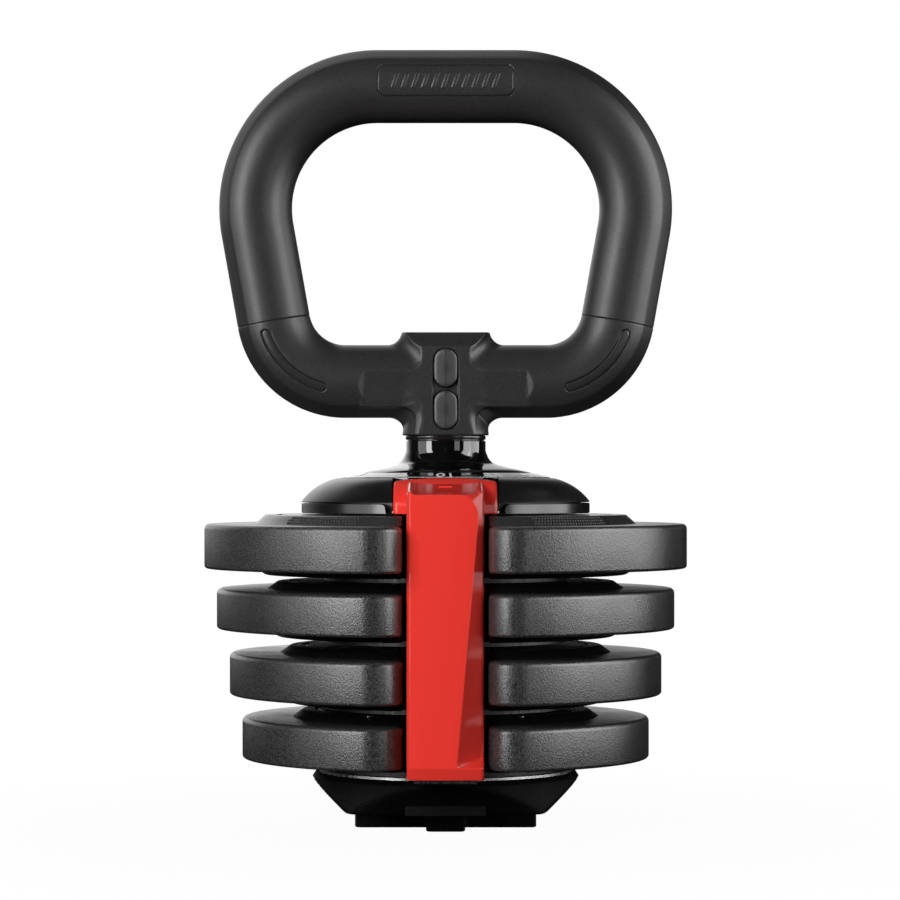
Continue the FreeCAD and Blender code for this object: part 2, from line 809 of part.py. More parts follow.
def plate_outline(radius):
    """The outline of a slotted plate, open at the front, with rounded mouth corners."""
    slot, mouth = dim("slot_half"), dim("mouth_radius")
    across = slot + mouth
    down = side_of(radius - mouth, across)
    share = radius / (radius - mouth)
    corners = [
        (slot, -down),
        (across * share, -(down * share)),
        (0, radius),
        (-(across * share), -(down * share)),
        (-slot, -down),
        (-slot, 0),
        (0, slot),
        (slot, 0),
    ]
    return corners, {0: mouth, 1: radius, 2: radius, 3: mouth, 5: -slot, 6: -slot}


def hub_cover(label, radius, start, rise, lug=None):
    """A slotted hub cover whose rim slopes in; a negative rise makes it hang below its face."""
    slot = dim("slot_half")
    outer = radius - dim("hub_inset")
    inner = outer - dim("hub_slope")
    if rise.value > 0:
        corners = [(slot, start), (outer, start), (inner, start + rise), (slot, start + rise)]
    else:
        corners = [(slot, start + rise), (inner, start + rise), (outer, start), (slot, start)]
    ring = lathe(label + "_ring", corners)
    slit = box(label + "_slit", (-slot, -radius, start - 10), (slot, 0, start + 10))
    if lug is None:
        return cut(label, ring, slit)
    return fuse(label, cut(label + "_open", ring, slit), lug)


def make_plate(name):
    """One slotted weight plate with its two hub covers; the lower cover's lug meets the disc's rib."""
    number = PLATE_NUMBER[name]
    radius, low, high = dim(f"radius_{name}"), dim(f"bottom_{name}"), dim(f"top_{name}")
    hub_low, hub_high = dim(f"hub_low_{name}"), dim(f"hub_high_{name}")
    corners, arcs = plate_outline(radius)
    casting = prism(f"plate_{number}_casting", "XY_Plane", corners, low, high - low, arcs)
    round_edges(casting, f"plate_{number}_top_edge", dim("edge_round"), lies_at(high))
    round_edges(casting, f"plate_{number}_low_edge", dim("edge_round") * 0.6, lies_at(low))
    lug = box(
        f"plate_{number}_lug",
        (-4.5, 42.0, hub_low - dim("lug_reach")),
        (4.5, dim("rib_inner") - 0.8, hub_low + 1),
    )
    upper = hub_cover(f"plate_{number}_top_cover", radius, high, hub_high - high)
    lower = hub_cover(f"plate_{number}_low_cover", radius, low, hub_low - low, lug)
    return [casting, upper, lower]


# ------------------------------------------------------------------ core


def make_spools():
    """The fixed spools between the discs, each with a web that reaches forward to the column."""
    radius, bore, web, back = dim("spool_radius"), dim("spool_bore"), dim("web_half"), dim("column_back")
    flange_top = dim("deck_height") - 6.2
    levels = []
    for index, name in enumerate(PLATES):
        low = disc_levels(name)[1] + 0.2
        high = flange_top if index == 0 else disc_levels(PLATES[index - 1])[0] - 0.2
        levels.append((low, high))
    spools = []
    for number, (low, high) in enumerate(levels, start=1):
        web_top = high if number > 1 else dim("hub_high_one")
        blanks = [
            rod(f"spool_{number}_barrel", radius, (0, 0, low), high - low),
            box(f"spool_{number}_web", (-web, -back, low), (web, 0, web_top)),
        ]
        if number == 1:
            blanks.append(rod("spool_flange", dim("flange_radius"), (0, 0, high - 3.6), 3.6))
        whole = fuse(f"spool_{number}_whole", *blanks)
        through = rod(f"spool_{number}_bore", bore, (0, 0, low - 1), 60)
        spools.append(cut(f"core_spool_{number}", whole, through))
    return spools


def make_column():
    """The column's cover, the steel bar inside it, the pointer mark and the screws into the webs."""
    half, front, back = dim("column_half"), dim("column_front"), dim("column_back")
    low, high, wing = dim("column_bottom"), dim("column_top"), dim("wing_half")
    crest, step = dim("dial_edge") - 1.2, dim("band_bottom") + 0.1
    edge = dim("dial_radius") + 1
    side = [
        (-back, low),
        (4 - front, low),
        (-front, low + 5.5),
        (-front, high),
        (-edge - 0.3, crest),
        (-edge - 0.3, step),
        (-back, step),
    ]
    panel = prism("column_panel", "YZ_Plane", side, -half, half * 2)
    wings = common(
        "column_wings",
        lathe(
            "wing_ring",
            [
                (edge - 8, step),
                (dim("shroud_radius") + 0.8, step),
                (dim("shroud_radius") + 0.8, dim("shroud_shoulder") + 0.3),
                (edge, crest - 0.2),
                (edge - 8, crest - 0.2),
            ],
            {2: dim("top_bend") * 0.5},
        ),
        box("wing_room", (-wing, -80, 140), (wing, -edge - 0.3, 165)),
    )
    hollow = box("column_room", (2.5 - half, 2.5 - front, low + 2.5), (half - 2.5, -back + 1, step - 2.5))
    web_room = box("web_room", (-half - 1, -back, low - 1), (half + 1, 0, step))
    mark_low, mark_back = (-3.4, 26.5 - front, high + 2.9), 31.5 - front
    pointer_slot = box("pointer_slot", mark_low, (3.4, mark_back, high + 9))
    bar_room = box("bar_room", (-14.05, -back - 12.05, low - 1), (14.05, 1 - back, low + 3))
    whole = fuse("column_whole", panel, wings)
    cover = cut("column_cover", whole, hollow, web_room, bar_room, pointer_slot)
    pointer = box("column_pointer", mark_low, (3.4, mark_back, high + 5.3))
    bar = box("column_bar_blank", (-14, -back - 12, low), (14, -back, dim("hub_high_one") - 2))
    screws, holes = [], []
    for number, name in enumerate(PLATES, start=1):
        height = (dim(f"bottom_{name}") + dim(f"top_{name}")) / 2
        head = rod(f"column_screw_head_{number}", 4.5, (0, -back - 16.9, height), 4.8, "y")
        shank = rod(f"column_screw_shank_{number}", 2.5, (0, -back - 12.2, height), 12.1, "y")
        screws.append(fuse(f"column_screw_{number}", head, shank))
        holes.append(rod(f"column_screw_hole_{number}", 2.6, (0, -back - 13, height), 14, "y"))
    return [cover, cut("column_bar", bar, *holes), pointer, group("column_screws", *screws)]


def make_shroud():
    """The dome over the stack, its satin band, the dial's bush, and the screws that hold the deck."""
    deck, radius, shoulder = dim("deck_height"), dim("shroud_radius"), dim("shroud_shoulder")
    edge, low, wing = dim("dial_radius") + 0.6, dim("band_bottom"), dim("wing_half")
    skirt = radius - 3.9
    blank = lathe(
        "shroud_blank",
        [
            (18.05, deck - 6.2),
            (dim("flange_radius"), deck - 6.2),
            (dim("flange_radius"), deck - 3),
            (57, deck - 3),
            (skirt - 2.5, deck - 6.5),
            (skirt - 2.5, low),
            (skirt, low),
            (skirt, shoulder),
            (radius, shoulder),
            (edge, dim("dial_edge") - 0.2),
            (edge, deck),
            (18.05, deck),
        ],
        {8: dim("top_bend") * 0.5},
    )
    opening = box("shroud_opening", (-wing - 0.4, -80, 140), (wing + 0.4, 0.4 - edge, 170))
    screws, holes = [], []
    for number, angle in enumerate((30, 90, 150), start=1):
        place = polar(40, angle)
        head = rod(f"deck_screw_head_{number}", 3.0, (*place, deck - 1.8), 1.7)
        shank = rod(f"deck_screw_shank_{number}", 1.5, (*place, deck - 3), 1.3)
        screws.append(fuse(f"deck_screw_{number}", head, shank))
        holes.append(rod(f"deck_screw_seat_{number}", 3.05, (*place, deck - 1.8), 4))
        holes.append(rod(f"deck_screw_hole_{number}", 1.5, (*place, deck - 4), 3))
    holes.append(rod("detent_deck_hole", 2.05, (*DETENT_PLACE, deck - 4), 8))
    holes.append(rod("stop_deck_hole", 2.0, (*STOP_PLACE, deck - 4), 8))
    shroud = cut("top_shroud", blank, opening, *holes)
    rim = shoulder - 0.6
    ring = lathe("band_ring", [(skirt, low), (radius, low), (radius, rim), (skirt, rim)])
    notch = box("band_notch", (-wing - 3.1, -80, 140), (wing + 3.1, 0, 170))
    band = cut("shroud_band", ring, notch)
    bush = lathe("dial_bush", [(14.06, deck - 6), (18.0, deck - 6), (18.0, deck), (14.06, deck)])
    return [shroud, band, bush, group("deck_screws", *screws)] + make_detent()


def make_detent():
    """The ball, spring and cup that hold the dial at a setting, and the pin that stops its turn."""
    deck = dim("deck_height")
    cup_low = deck - 10
    cup = cut(
        "detent_cup",
        rod("detent_cup_outside", 4.5, (*DETENT_PLACE, cup_low), 7),
        rod("detent_cup_bore", 2.05, (*DETENT_PLACE, cup_low + 1.5), 10),
    )
    ball = DOC.addObject("Part::Sphere", "detent_ball")
    ball.Label = "detent_ball"
    ball.Radius = 2.0
    for axis, place in zip("xyz", (*DETENT_PLACE, deck - 1.2)):
        bind(ball, f"Placement.Base.{axis}", as_size(place))
    spring = cut(
        "detent_spring",
        rod("detent_spring_outside", 1.8, (*DETENT_PLACE, cup_low + 1.6), 5.0),
        rod("detent_spring_inside", 1.2, (*DETENT_PLACE, cup_low), 12),
    )
    return [cup, ball, spring, rod("stop_pin", 2.0, (*STOP_PLACE, deck - 3), 5.2)]


def rounded_square(half, corner):
    """A square outline with rounded corners."""
    near = half - corner
    corners = [
        (half, -near),
        (half, near),
        (near, half),
        (-near, half),
        (-half, near),
        (-half, -near),
        (-near, -half),
        (near, -half),
    ]
    return corners, {1: corner, 3: corner, 5: corner, 7: corner}


def make_base_cover():
    """The base cover: round at its rim and square at its foot, hollow from above."""
    low, high, rim, half = dim("base_bottom"), dim("base_top"), dim("base_rim"), dim("base_foot_half")
    body = new_body("base_blank")
    foot = new_sketch(body, "base_foot_outline", "XY_Plane", low)
    draw_outline(foot, *rounded_square(half, as_size(10)))
    top = new_sketch(body, "base_rim_outline", "XY_Plane", high - 2.3)
    draw_outline(top, *rounded_square(rim + 0.5, as_size(10)))
    loft = body.newObject("PartDesign::AdditiveLoft", "base_loft")
    loft.Profile = foot
    loft.Sections = [top]
    loft.Ruled = True
    lip = lathe("base_lip", [(0, high - 2.3), (rim - 0.1, high - 2.3), (rim - 1.4, high), (0, high)])
    skirt = common("base_skirt", body, rod("base_drum", rim, (0, 0, low - 1), 40))
    room = rod("base_room", 43, (0, 0, low + 3), 40)
    seat = rod("base_plate_seat", rim - 3.1, (0, 0, high - 3), 10)
    key_low, key_high = (-18.3, -50.7, low), (18.3, -44, low + 4.75)
    key_slot = box("base_key_slot", (-18.3, -60, low - 1), (18.3, -44, low + 4.75))
    bolt_room = rod("shaft_bolt_room", 13, (0, 0, low - 1), 10)
    shell = cut("base_shell", fuse("base_whole", skirt, lip), room, seat)
    floor = high - 3
    posts = []
    for number, place in enumerate(BASE_SCREWS, start=1):
        posts.append(rod(f"base_post_{number}", 4, (*place, low + 1), floor - low - 1))
    cover = cut("base_cover", fuse("base_posted", shell, *posts), key_slot, bolt_room, *base_screw_holes())
    key = box("base_key", key_low, key_high)
    return [cover, key]


BASE_SCREWS = [(sign_x * 33.0, sign_y * 33.0) for sign_x in (-1, 1) for sign_y in (-1, 1)]


def base_screw_holes():
    """The counterbored holes in the base cover's floor."""
    low = dim("base_bottom")
    holes = []
    for number, place in enumerate(BASE_SCREWS, start=1):
        holes.append(rod(f"base_screw_bore_{number}", 3.6, (*place, low - 1), 2.6))
        holes.append(rod(f"base_screw_hole_{number}", 1.8, (*place, low), 20))
    return holes


def make_base():
    """The steel base plate with the lower bush, the cover, the sole ribs, and the small parts inside."""
    low, high, rim = dim("base_bottom"), dim("base_top"), dim("base_rim")
    floor, top = high - 3, disc_levels("four")[0] - 0.3
    tongue_front, tongue_back = -dim("column_back") - 12, -dim("disc_radius") - 0.6
    plate_blank = fuse(
        "base_plate_blank",
        rod("base_plate_disc", rim - 3.15, (0, 0, floor), top - floor),
        rod("base_plate_boss", 14, (0, 0, floor - 4), 5),
        box("base_plate_tongue", (-14, tongue_front, high + 0.1), (14, tongue_back, dim("column_bottom"))),
    )
    bores = [rod("base_plate_bore", 11, (0, 0, floor - 5), 20)]
    screws = []
    for number, place in enumerate(BASE_SCREWS, start=1):
        bores.append(rod(f"base_plate_tap_{number}", 1.75, (*place, floor - 1), 3.5))
        head = rod(f"base_screw_head_{number}", 3.4, (*place, low), 1.6)
        shank = rod(f"base_screw_shank_{number}", 1.7, (*place, low + 1.6), floor - low + 0.6)
        screws.append(fuse(f"base_screw_{number}", head, shank))
    plate = cut("base_plate", plate_blank, *bores)
    bush = cut(
        "lower_bush",
        rod("lower_bush_outside", 11, (0, 0, floor - 4), top - floor + 4),
        rod("lower_bush_bore", dim("shaft_flats") / math.sqrt(3) + 0.05, (0, 0, floor - 5), 20),
    )
    return [plate, bush, group("base_screws", *screws)] + make_sole()


def make_sole():
    """The cross of ribs that the kettlebell stands on."""
    low, length = dim("base_bottom"), dim("sole_half")
    across, reach, width = as_size(5), as_size(24), as_size(8.9)
    quarter = [(length, across), (width, across), (width, reach)]
    corners = []
    for turn_x, turn_y in ((1, 1), (-1, 1), (-1, -1), (1, -1)):
        points = [(across_x * turn_x, up_y * turn_y) for across_x, up_y in quarter]
        corners += points if turn_x * turn_y > 0 else points[::-1]
    ribs = prism("sole_blank", "XY_Plane", corners, 0, low)
    round_edges(ribs, "sole_ends", 1.2, lambda edge: lies_at(0)(edge) and abs(edge.BoundBox.XMin) > 41)
    return [cut("base_sole", ribs, rod("sole_relief", 13, (0, 0, 3.5), 20))]


# ------------------------------------------------------------------ assembly and export


def make_all():
    """Every piece of the kettlebell, in the order from the handle down."""
    pieces = make_grip() + make_yoke() + make_handle_frame()
    pieces += make_button("upper") + make_button("lower")
    pieces += make_neck() + make_selector()
    for name in PLATES:
        pieces += make_plate(name)
    pieces += make_spools() + make_column() + make_shroud() + make_base_cover() + make_base()
    return pieces


def check(pieces):
    """Stops if any object failed, or a piece's shape is missing or broken."""
    for item in DOC.Objects:
        if {"Invalid", "Error"} & set(item.State):
            raise RuntimeError(f"{item.Label} failed: {item.State}")
    for piece in pieces:
        if piece.Shape.isNull() or not piece.Shape.isValid() or not piece.Shape.Solids:
            raise RuntimeError(f"{piece.Label} has no valid shape")


def export(pieces):
    """Writes each piece to its own STEP file."""
    os.makedirs("parts", exist_ok=True)
    for piece in pieces:
        piece.Shape.exportStep(f"parts/{piece.Label}.step")
        box_of = piece.Shape.BoundBox
        print(
            f"{piece.Label:22s} solids {len(piece.Shape.Solids):2d} volume {piece.Shape.Volume:10.1f}"
            f"  z {box_of.ZMin:7.2f} {box_of.ZMax:7.2f}"
        )


make_sheet()
PIECES = make_all()
DOC.recompute()
check(PIECES)
export(PIECES)
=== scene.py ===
"""The looks of a kettlebell with a selectable weight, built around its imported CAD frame."""

import json
import math

import bmesh
import bpy
import numpy as np
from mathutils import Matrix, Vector


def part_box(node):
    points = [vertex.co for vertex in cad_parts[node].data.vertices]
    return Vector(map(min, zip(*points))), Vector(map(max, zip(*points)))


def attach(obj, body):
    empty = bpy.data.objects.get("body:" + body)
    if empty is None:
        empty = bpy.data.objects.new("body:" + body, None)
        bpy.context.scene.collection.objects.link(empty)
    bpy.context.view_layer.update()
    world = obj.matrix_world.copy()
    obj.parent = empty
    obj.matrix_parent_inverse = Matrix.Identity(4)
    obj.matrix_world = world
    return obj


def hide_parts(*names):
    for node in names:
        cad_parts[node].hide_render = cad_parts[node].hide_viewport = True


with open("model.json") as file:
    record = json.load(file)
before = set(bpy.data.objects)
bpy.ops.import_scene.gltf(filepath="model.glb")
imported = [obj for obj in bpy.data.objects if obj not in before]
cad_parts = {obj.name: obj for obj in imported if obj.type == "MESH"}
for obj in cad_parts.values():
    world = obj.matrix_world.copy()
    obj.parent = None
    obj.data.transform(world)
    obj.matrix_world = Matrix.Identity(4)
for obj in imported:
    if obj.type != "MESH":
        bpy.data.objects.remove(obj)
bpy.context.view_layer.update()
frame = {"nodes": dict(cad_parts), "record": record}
MM = 0.001


def high(node, axis):
    """The highest coordinate of a CAD node along an axis, in millimetres."""
    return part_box(node)[1][axis] / MM


def low(node, axis):
    """The lowest coordinate of a CAD node along an axis, in millimetres."""
    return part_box(node)[0][axis] / MM


# ------------------------------------------------------------------ sizes, in millimetres

X, Y, Z = 0, 1, 2
GRIP = 16.75                       # radius of the handle's round section
GRIP_BORE = 11.3
CREASE = 11.5                      # how far out the section's flats begin
BAR = high("grip_shell_front", Z) - GRIP
TOP_X, TOP_BEND = 31.3, 56.1
CROSSBAR = 204.7
LOW_X, LOW_BEND = 46.2, 33.35
RISE = BAR - TOP_BEND - CROSSBAR - LOW_BEND
# The turn of the leg's outward side from level: negative, because the legs spread upwards.
LEAN = math.atan2(LOW_X - TOP_X, RISE) - math.asin((TOP_BEND - LOW_BEND) / math.hypot(LOW_X - TOP_X, RISE))
# The seam between the grip and the yoke, on the centreline.
SEAM_X, SEAM_Z = LOW_X + LOW_BEND * math.cos(LEAN), CROSSBAR + LOW_BEND + LOW_BEND * math.sin(LEAN)
PARTING = 0.08                     # half of the gap between two half shells
BOSS_TOP, BOSS_LOW = 227.1, 179.9
BOSS_BEVEL = 220.3
BOSS_WAIST = 18.6
BOSS_FLAT = 15.2
FLAT_HALF = 36.3
FACE_HALF, FACE_RISE = 10.8, 7.3    # the front face: half of its upright strip and of its level one
FACE_LEVEL = CROSSBAR - 2.0
NECK = 18.4
NECK_TOP = high("dial_neck", Z)
DIAL = high("dial_neck", X)
DIAL_EDGE = 160.6
SHROUD = high("top_shroud", X)
SHOULDER = 149.7
BAND_LOW = low("shroud_band", Z)
WING = 23.3
COLUMN_FRONT = -low("column_cover", Y)
COLUMN_HALF = 16.9
COLUMN_LOW = low("column_cover", Z)
COLUMN_TOP = 153.1
COLUMN_BACK = DIAL + 1.3
COLUMN_FOOT = COLUMN_LOW + 5.5
SCOOP_RISE = 6.1
SLOT = 18.8
MOUTH = 13.0
RIM = 61.1
BASE_TOP = high("base_cover", Z)
BASE_LOW = low("base_cover", Z)
FOOT_HALF = 45.3


# ------------------------------------------------------------------ mesh helpers


def add_mesh(name, points, faces, body, nodes, slot, sharp=None, finish=None, smooth=True):
    """An object from points in millimetres, on a body, with the nodes that it stands for.

    Edges that turn more than the sharp angle are marked, so that flats stay flat.
    """
    mesh = bpy.data.meshes.new(name)
    mesh.from_pydata((np.asarray(points, dtype=float) * MM).tolist(), [], [list(face) for face in faces])
    mesh.validate()
    turned_out = bmesh.new()
    turned_out.from_mesh(mesh)
    bmesh.ops.recalc_face_normals(turned_out, faces=turned_out.faces)
    turned_out.to_mesh(mesh)
    turned_out.free()
    mesh.polygons.foreach_set("use_smooth", [smooth] * len(mesh.polygons))
    mesh.materials.append(FINISH[finish or slot])
    piece = bpy.data.objects.new(name, mesh)
    bpy.context.scene.collection.objects.link(piece)
    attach(piece, body)
    if nodes:
        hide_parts(*nodes)
    if sharp:
        sharpen(piece, sharp)
    return piece


def carve(piece, *tools):
    """Cuts closed shapes, given as points in millimetres and faces, out of a piece."""
    for points, faces in tools:
        mesh = bpy.data.meshes.new("tool")
        mesh.from_pydata((np.asarray(points, dtype=float) * MM).tolist(), [], [list(face) for face in faces])
        tool = bpy.data.objects.new("tool", mesh)
        bpy.context.scene.collection.objects.link(tool)
        cutter = piece.modifiers.new("cutter", "BOOLEAN")
        cutter.operation, cutter.solver, cutter.object = "DIFFERENCE", "EXACT", tool
        result = bpy.data.meshes.new_from_object(piece.evaluated_get(bpy.context.evaluated_depsgraph_get()))
        piece.modifiers.clear()
        piece.data = result
        bpy.data.objects.remove(tool)


def rod(centre, radius, first, last, axis=Z):
    """Points and faces of a plain bore along an axis, used only to carve."""
    loops = []
    circle = arc((0, 0), radius, 0, 360, 41)[:-1]
    for reach in (first, last):
        if axis == Z:
            loops.append([(centre[0] + a, centre[1] + b, reach) for a, b in circle])
        else:
            loops.append([(centre[0] + a, -reach, centre[1] + b) for a, b in circle])
    return loft(loops)


def append_shape(points, faces, shape):
    """Adds a shape's points and faces to the lists of a larger one."""
    start = len(points)
    points.extend(np.asarray(shape[0]).tolist())
    faces.extend(tuple(start + corner for corner in face) for face in shape[1])


def domes(places, radius, rise):
    """Points and faces of low domes that stand on (place, outward) pairs, each a closed shape."""
    points, faces = [], []
    for place, outward in places:
        outward = np.array(outward) / np.linalg.norm(outward)
        across = np.cross(outward, (0.0, 0.0, 1.0) if abs(outward[2]) < 0.9 else (1.0, 0.0, 0.0))
        across /= np.linalg.norm(across)
        along = np.cross(outward, across)
        loops = []
        for size, lift in ((1, -0.25), (1, 0.0), (0.82, 0.55), (0.5, 0.86), (0.15, 1.0)):
            circle = arc((0, 0), radius * size, 0, 360, 13)[:-1]
            lift = lift * (rise if lift > 0 else 1)
            loops.append([np.array(place) + a * across + b * along + lift * outward for a, b in circle])
        append_shape(points, faces, loft(loops))
    return points, faces


def sharpen(piece, degrees):
    """Marks the edges that turn more than an angle as sharp."""
    piece.data.set_sharp_from_angle(angle=math.radians(degrees))


def grid_faces(rows, columns, wrap_rows=False, wrap_columns=True, start=0):
    """The quads of a grid of points, whose ends may be joined either way."""
    faces = []
    for row in range(rows if wrap_rows else rows - 1):
        after = (row + 1) % rows
        for column in range(columns if wrap_columns else columns - 1):
            beside = (column + 1) % columns
            here, there = start + row * columns, start + after * columns
            faces.append((here + column, here + beside, there + beside, there + column))
    return faces


def loft(loops, wrap=False):
    """Points and quads through closed loops of equal length, joined to a ring or capped at the ends."""
    loops = np.asarray(loops, dtype=float)
    rows, columns = loops.shape[:2]
    faces = grid_faces(rows, columns, wrap_rows=wrap)
    if not wrap:
        faces.append(tuple(range(columns))[::-1])
        faces.append(tuple((rows - 1) * columns + column for column in range(columns)))
    return loops.reshape(-1, 3), faces


def turned(profile, count):
    """Points and quads of a closed (radius, height) profile turned about the vertical axis."""
    angles = np.linspace(0, 2 * math.pi, count, endpoint=False)
    profile = np.asarray(profile, dtype=float)
    loops = [
        np.stack([r * np.cos(angles), r * np.sin(angles), np.full(count, z)], axis=1) for r, z in profile
    ]
    return loft(loops, wrap=True)


def arc(centre, radius, first, last, count):
    """Points of an arc in a plane, its angles in degrees."""
    turn = np.radians(np.linspace(first, last, count))
    return [(centre[0] + radius * math.cos(t), centre[1] + radius * math.sin(t)) for t in turn]


def rounded(corners, radius, steps=5):
    """A closed outline whose corners are rounded with short arcs, made of quadratic curves."""
    corners = [np.array(corner, dtype=float) for corner in corners]
    points = []
    for index, corner in enumerate(corners):
        before, after = corners[index - 1], corners[(index + 1) % len(corners)]
        reach = radius[index] if isinstance(radius, (list, tuple)) else radius
        back, ahead = before - corner, after - corner
        start = corner + back * min(reach / np.linalg.norm(back), 0.49)
        stop = corner + ahead * min(reach / np.linalg.norm(ahead), 0.49)
        for step in range(steps + 1):
            t = step / steps
            points.append(tuple(start * (1 - t) ** 2 + corner * 2 * t * (1 - t) + stop * t * t))
    return points


# ------------------------------------------------------------------ solids from distance functions


def length(*parts):
    """The length of a vector given by its parts."""
    return np.sqrt(sum(part * part for part in parts))


def round_and(a, b, radius):
    """The intersection of two distance fields with a rounded edge."""
    corner = length(np.maximum(a + radius, 0), np.maximum(b + radius, 0))
    return np.minimum(-radius, np.maximum(a, b)) + corner


def round_or(a, b, radius):
    """The union of two distance fields with a rounded fillet."""
    return -round_and(-a, -b, radius)


def ramp(value, start, stop):
    """A smooth step from 0 at start to 1 at stop."""
    t = np.clip((value - start) / (stop - start), 0, 1)
    return t * t * (3 - 2 * t)


def settle(field, points, step):
    """Moves points on to the surface where the field is zero."""
    for _ in range(3):
        here = field(*points.T)
        slope = np.empty_like(points)
        for axis in range(3):
            shift = np.zeros(3)
            shift[axis] = step * 0.05
            slope[:, axis] = (field(*(points + shift).T) - field(*(points - shift).T)) / (step * 0.1)
        size = np.maximum((slope * slope).sum(axis=1), 0.2)
        move = slope * (here / size)[:, None]
        points = points - np.clip(move, -step * 0.6, step * 0.6)
    return points


def surface_of(field, lowest, highest, step):
    """Points and quads of the surface where a distance field is zero, one point in each cell it crosses."""
    axes = [np.arange(a, b + step, step) for a, b in zip(lowest, highest)]
    value = field(*np.meshgrid(*axes, indexing="ij")).astype(np.float32)
    inside = value < 0
    count = np.zeros([size - 1 for size in value.shape], dtype=np.int8)
    corners = [(i, j, k) for i in (0, 1) for j in (0, 1) for k in (0, 1)]

    def shifted(array, offset):
        return array[tuple(slice(o, o + size - 1) for o, size in zip(offset, value.shape))]

    for corner in corners:
        count += shifted(inside, corner)
    cells = np.argwhere((count > 0) & (count < 8))
    number = np.full(count.shape, -1, dtype=np.int64)
    number[tuple(cells.T)] = np.arange(len(cells))
    total, crossings = np.zeros((len(cells), 3)), np.zeros(len(cells))
    for first in corners:
        for axis in range(3):
            if first[axis]:
                continue
            second = tuple(1 if index == axis else place for index, place in enumerate(first))
            a = value[tuple((cells + first).T)]
            b = value[tuple((cells + second).T)]
            crossed = (a < 0) != (b < 0)
            t = np.where(crossed, a / np.where(crossed, a - b, 1), 0)
            place = np.tile(np.array(first, dtype=float), (len(cells), 1))
            place[:, axis] += t
            total += place * crossed[:, None]
            crossings += crossed
    points = np.array(lowest) + (cells + total / crossings[:, None]) * step
    quads = []
    for axis in range(3):
        one, two = (axis + 1) % 3, (axis + 2) % 3
        before = [slice(1, -1)] * 3
        before[axis] = slice(0, -1)
        after = list(before)
        after[axis] = slice(1, None)
        a, b = inside[tuple(before)], inside[tuple(after)]
        for changed, flip in ((a & ~b, False), (~a & b, True)):
            edges = np.argwhere(changed) + [0 if index == axis else 1 for index in range(3)]
            ring = []
            for step_one, step_two in ((0, 0), (1, 0), (1, 1), (0, 1)):
                cell = edges.copy()
                cell[:, one] -= step_one
                cell[:, two] -= step_two
                ring.append(number[tuple(cell.T)])
            quads.append(np.stack(ring[::-1] if flip else ring, axis=1))
    return settle(field, points, step), np.concatenate(quads)


# ------------------------------------------------------------------ materials


def grey(tone, blue=0.0):
    """A grey, which may have a touch of blue."""
    return tone, tone, tone + blue


def add_node(owner, kind, **inputs):
    """A new node in a material or the world; each input is given a constant or another node's output."""
    node = owner.node_tree.nodes.new("ShaderNode" + kind)
    for name, value in inputs.items():
        socket = node.inputs[name.replace("_", " ")]
        if isinstance(value, bpy.types.NodeSocket):
            owner.node_tree.links.new(value, socket)
        else:
            socket.default_value = value
    return node


def new_material(name, color, roughness, **more):
    """A material with its shader's constants set on the shader itself."""
    material = bpy.data.materials.new(name)
    material.use_nodes = True
    shader = material.node_tree.nodes["Principled BSDF"]
    shader.inputs["Base Color"].default_value = (*color, 1)
    shader.inputs["Roughness"].default_value = roughness
    for socket, value in more.items():
        shader.inputs[socket.replace("_", " ")].default_value = value
    return material


def add_noise(material, scale, detail, stretch=(1, 1, 1)):
    """A noise pattern in object space."""
    place = add_node(material, "TexCoord").outputs["Object"]
    spread = add_node(material, "Mapping", Vector=place, Scale=stretch).outputs["Vector"]
    return add_node(material, "TexNoise", Vector=spread, Scale=scale, Detail=detail).outputs["Fac"]


def remap(owner, source, start, stop, first, last, kind="LINEAR"):
    """Maps a range of one value to a range of another, in a material's or the world's nodes."""
    node = add_node(owner, "MapRange", Value=source, From_Min=start, From_Max=stop, To_Min=first, To_Max=last)
    node.interpolation_type = kind
    return node.outputs["Result"]


def vary_color(material, source, dark, light):
    """Colours a material between two tones by a pattern."""
    tree = material.node_tree
    mix = tree.nodes.new("ShaderNodeMix")
    mix.data_type = "RGBA"
    mix.inputs["A"].default_value = (*dark, 1)
    mix.inputs["B"].default_value = (*light, 1)
    tree.links.new(source, mix.inputs["Factor"])
    tree.links.new(mix.outputs["Result"], tree.nodes["Principled BSDF"].inputs["Base Color"])


def vary_roughness(material, source):
    """Drives a material's roughness by a pattern."""
    tree = material.node_tree
    tree.links.new(source, tree.nodes["Principled BSDF"].inputs["Roughness"])


def roughen(material, source, strength, depth):
    """Gives a material a fine relief from a pattern."""
    tree = material.node_tree
    bump = add_node(material, "Bump", Height=source, Strength=strength, Distance=depth)
    tree.links.new(bump.outputs["Normal"], tree.nodes["Principled BSDF"].inputs["Normal"])


def grained(name, dark, light, roughness, spread, scale, depth, **more):
    """A moulded or coated surface: fine grain, small changes of tone and of gloss."""
    material = new_material(name, light, roughness, **more)
    grain = add_noise(material, scale, 2.0)
    cloud = add_noise(material, scale / 30, 4.0)
    vary_color(material, remap(material, grain, 0.3, 0.7, 0, 1), dark, light)
    vary_roughness(material, remap(material, cloud, 0.3, 0.7, roughness - spread, roughness + spread))
    roughen(material, grain, 0.6, depth)
    return material


def brushed(name, color, roughness, stretch):
    """A drawn metal surface, whose fine lines follow one direction."""
    material = new_material(name, color, roughness, Metallic=1.0)
    lines = add_noise(material, 900, 3.0, stretch)
    vary_roughness(material, remap(material, lines, 0.3, 0.7, roughness * 0.7, roughness * 1.3))
    roughen(material, lines, 0.25, 0.00002)
    return material


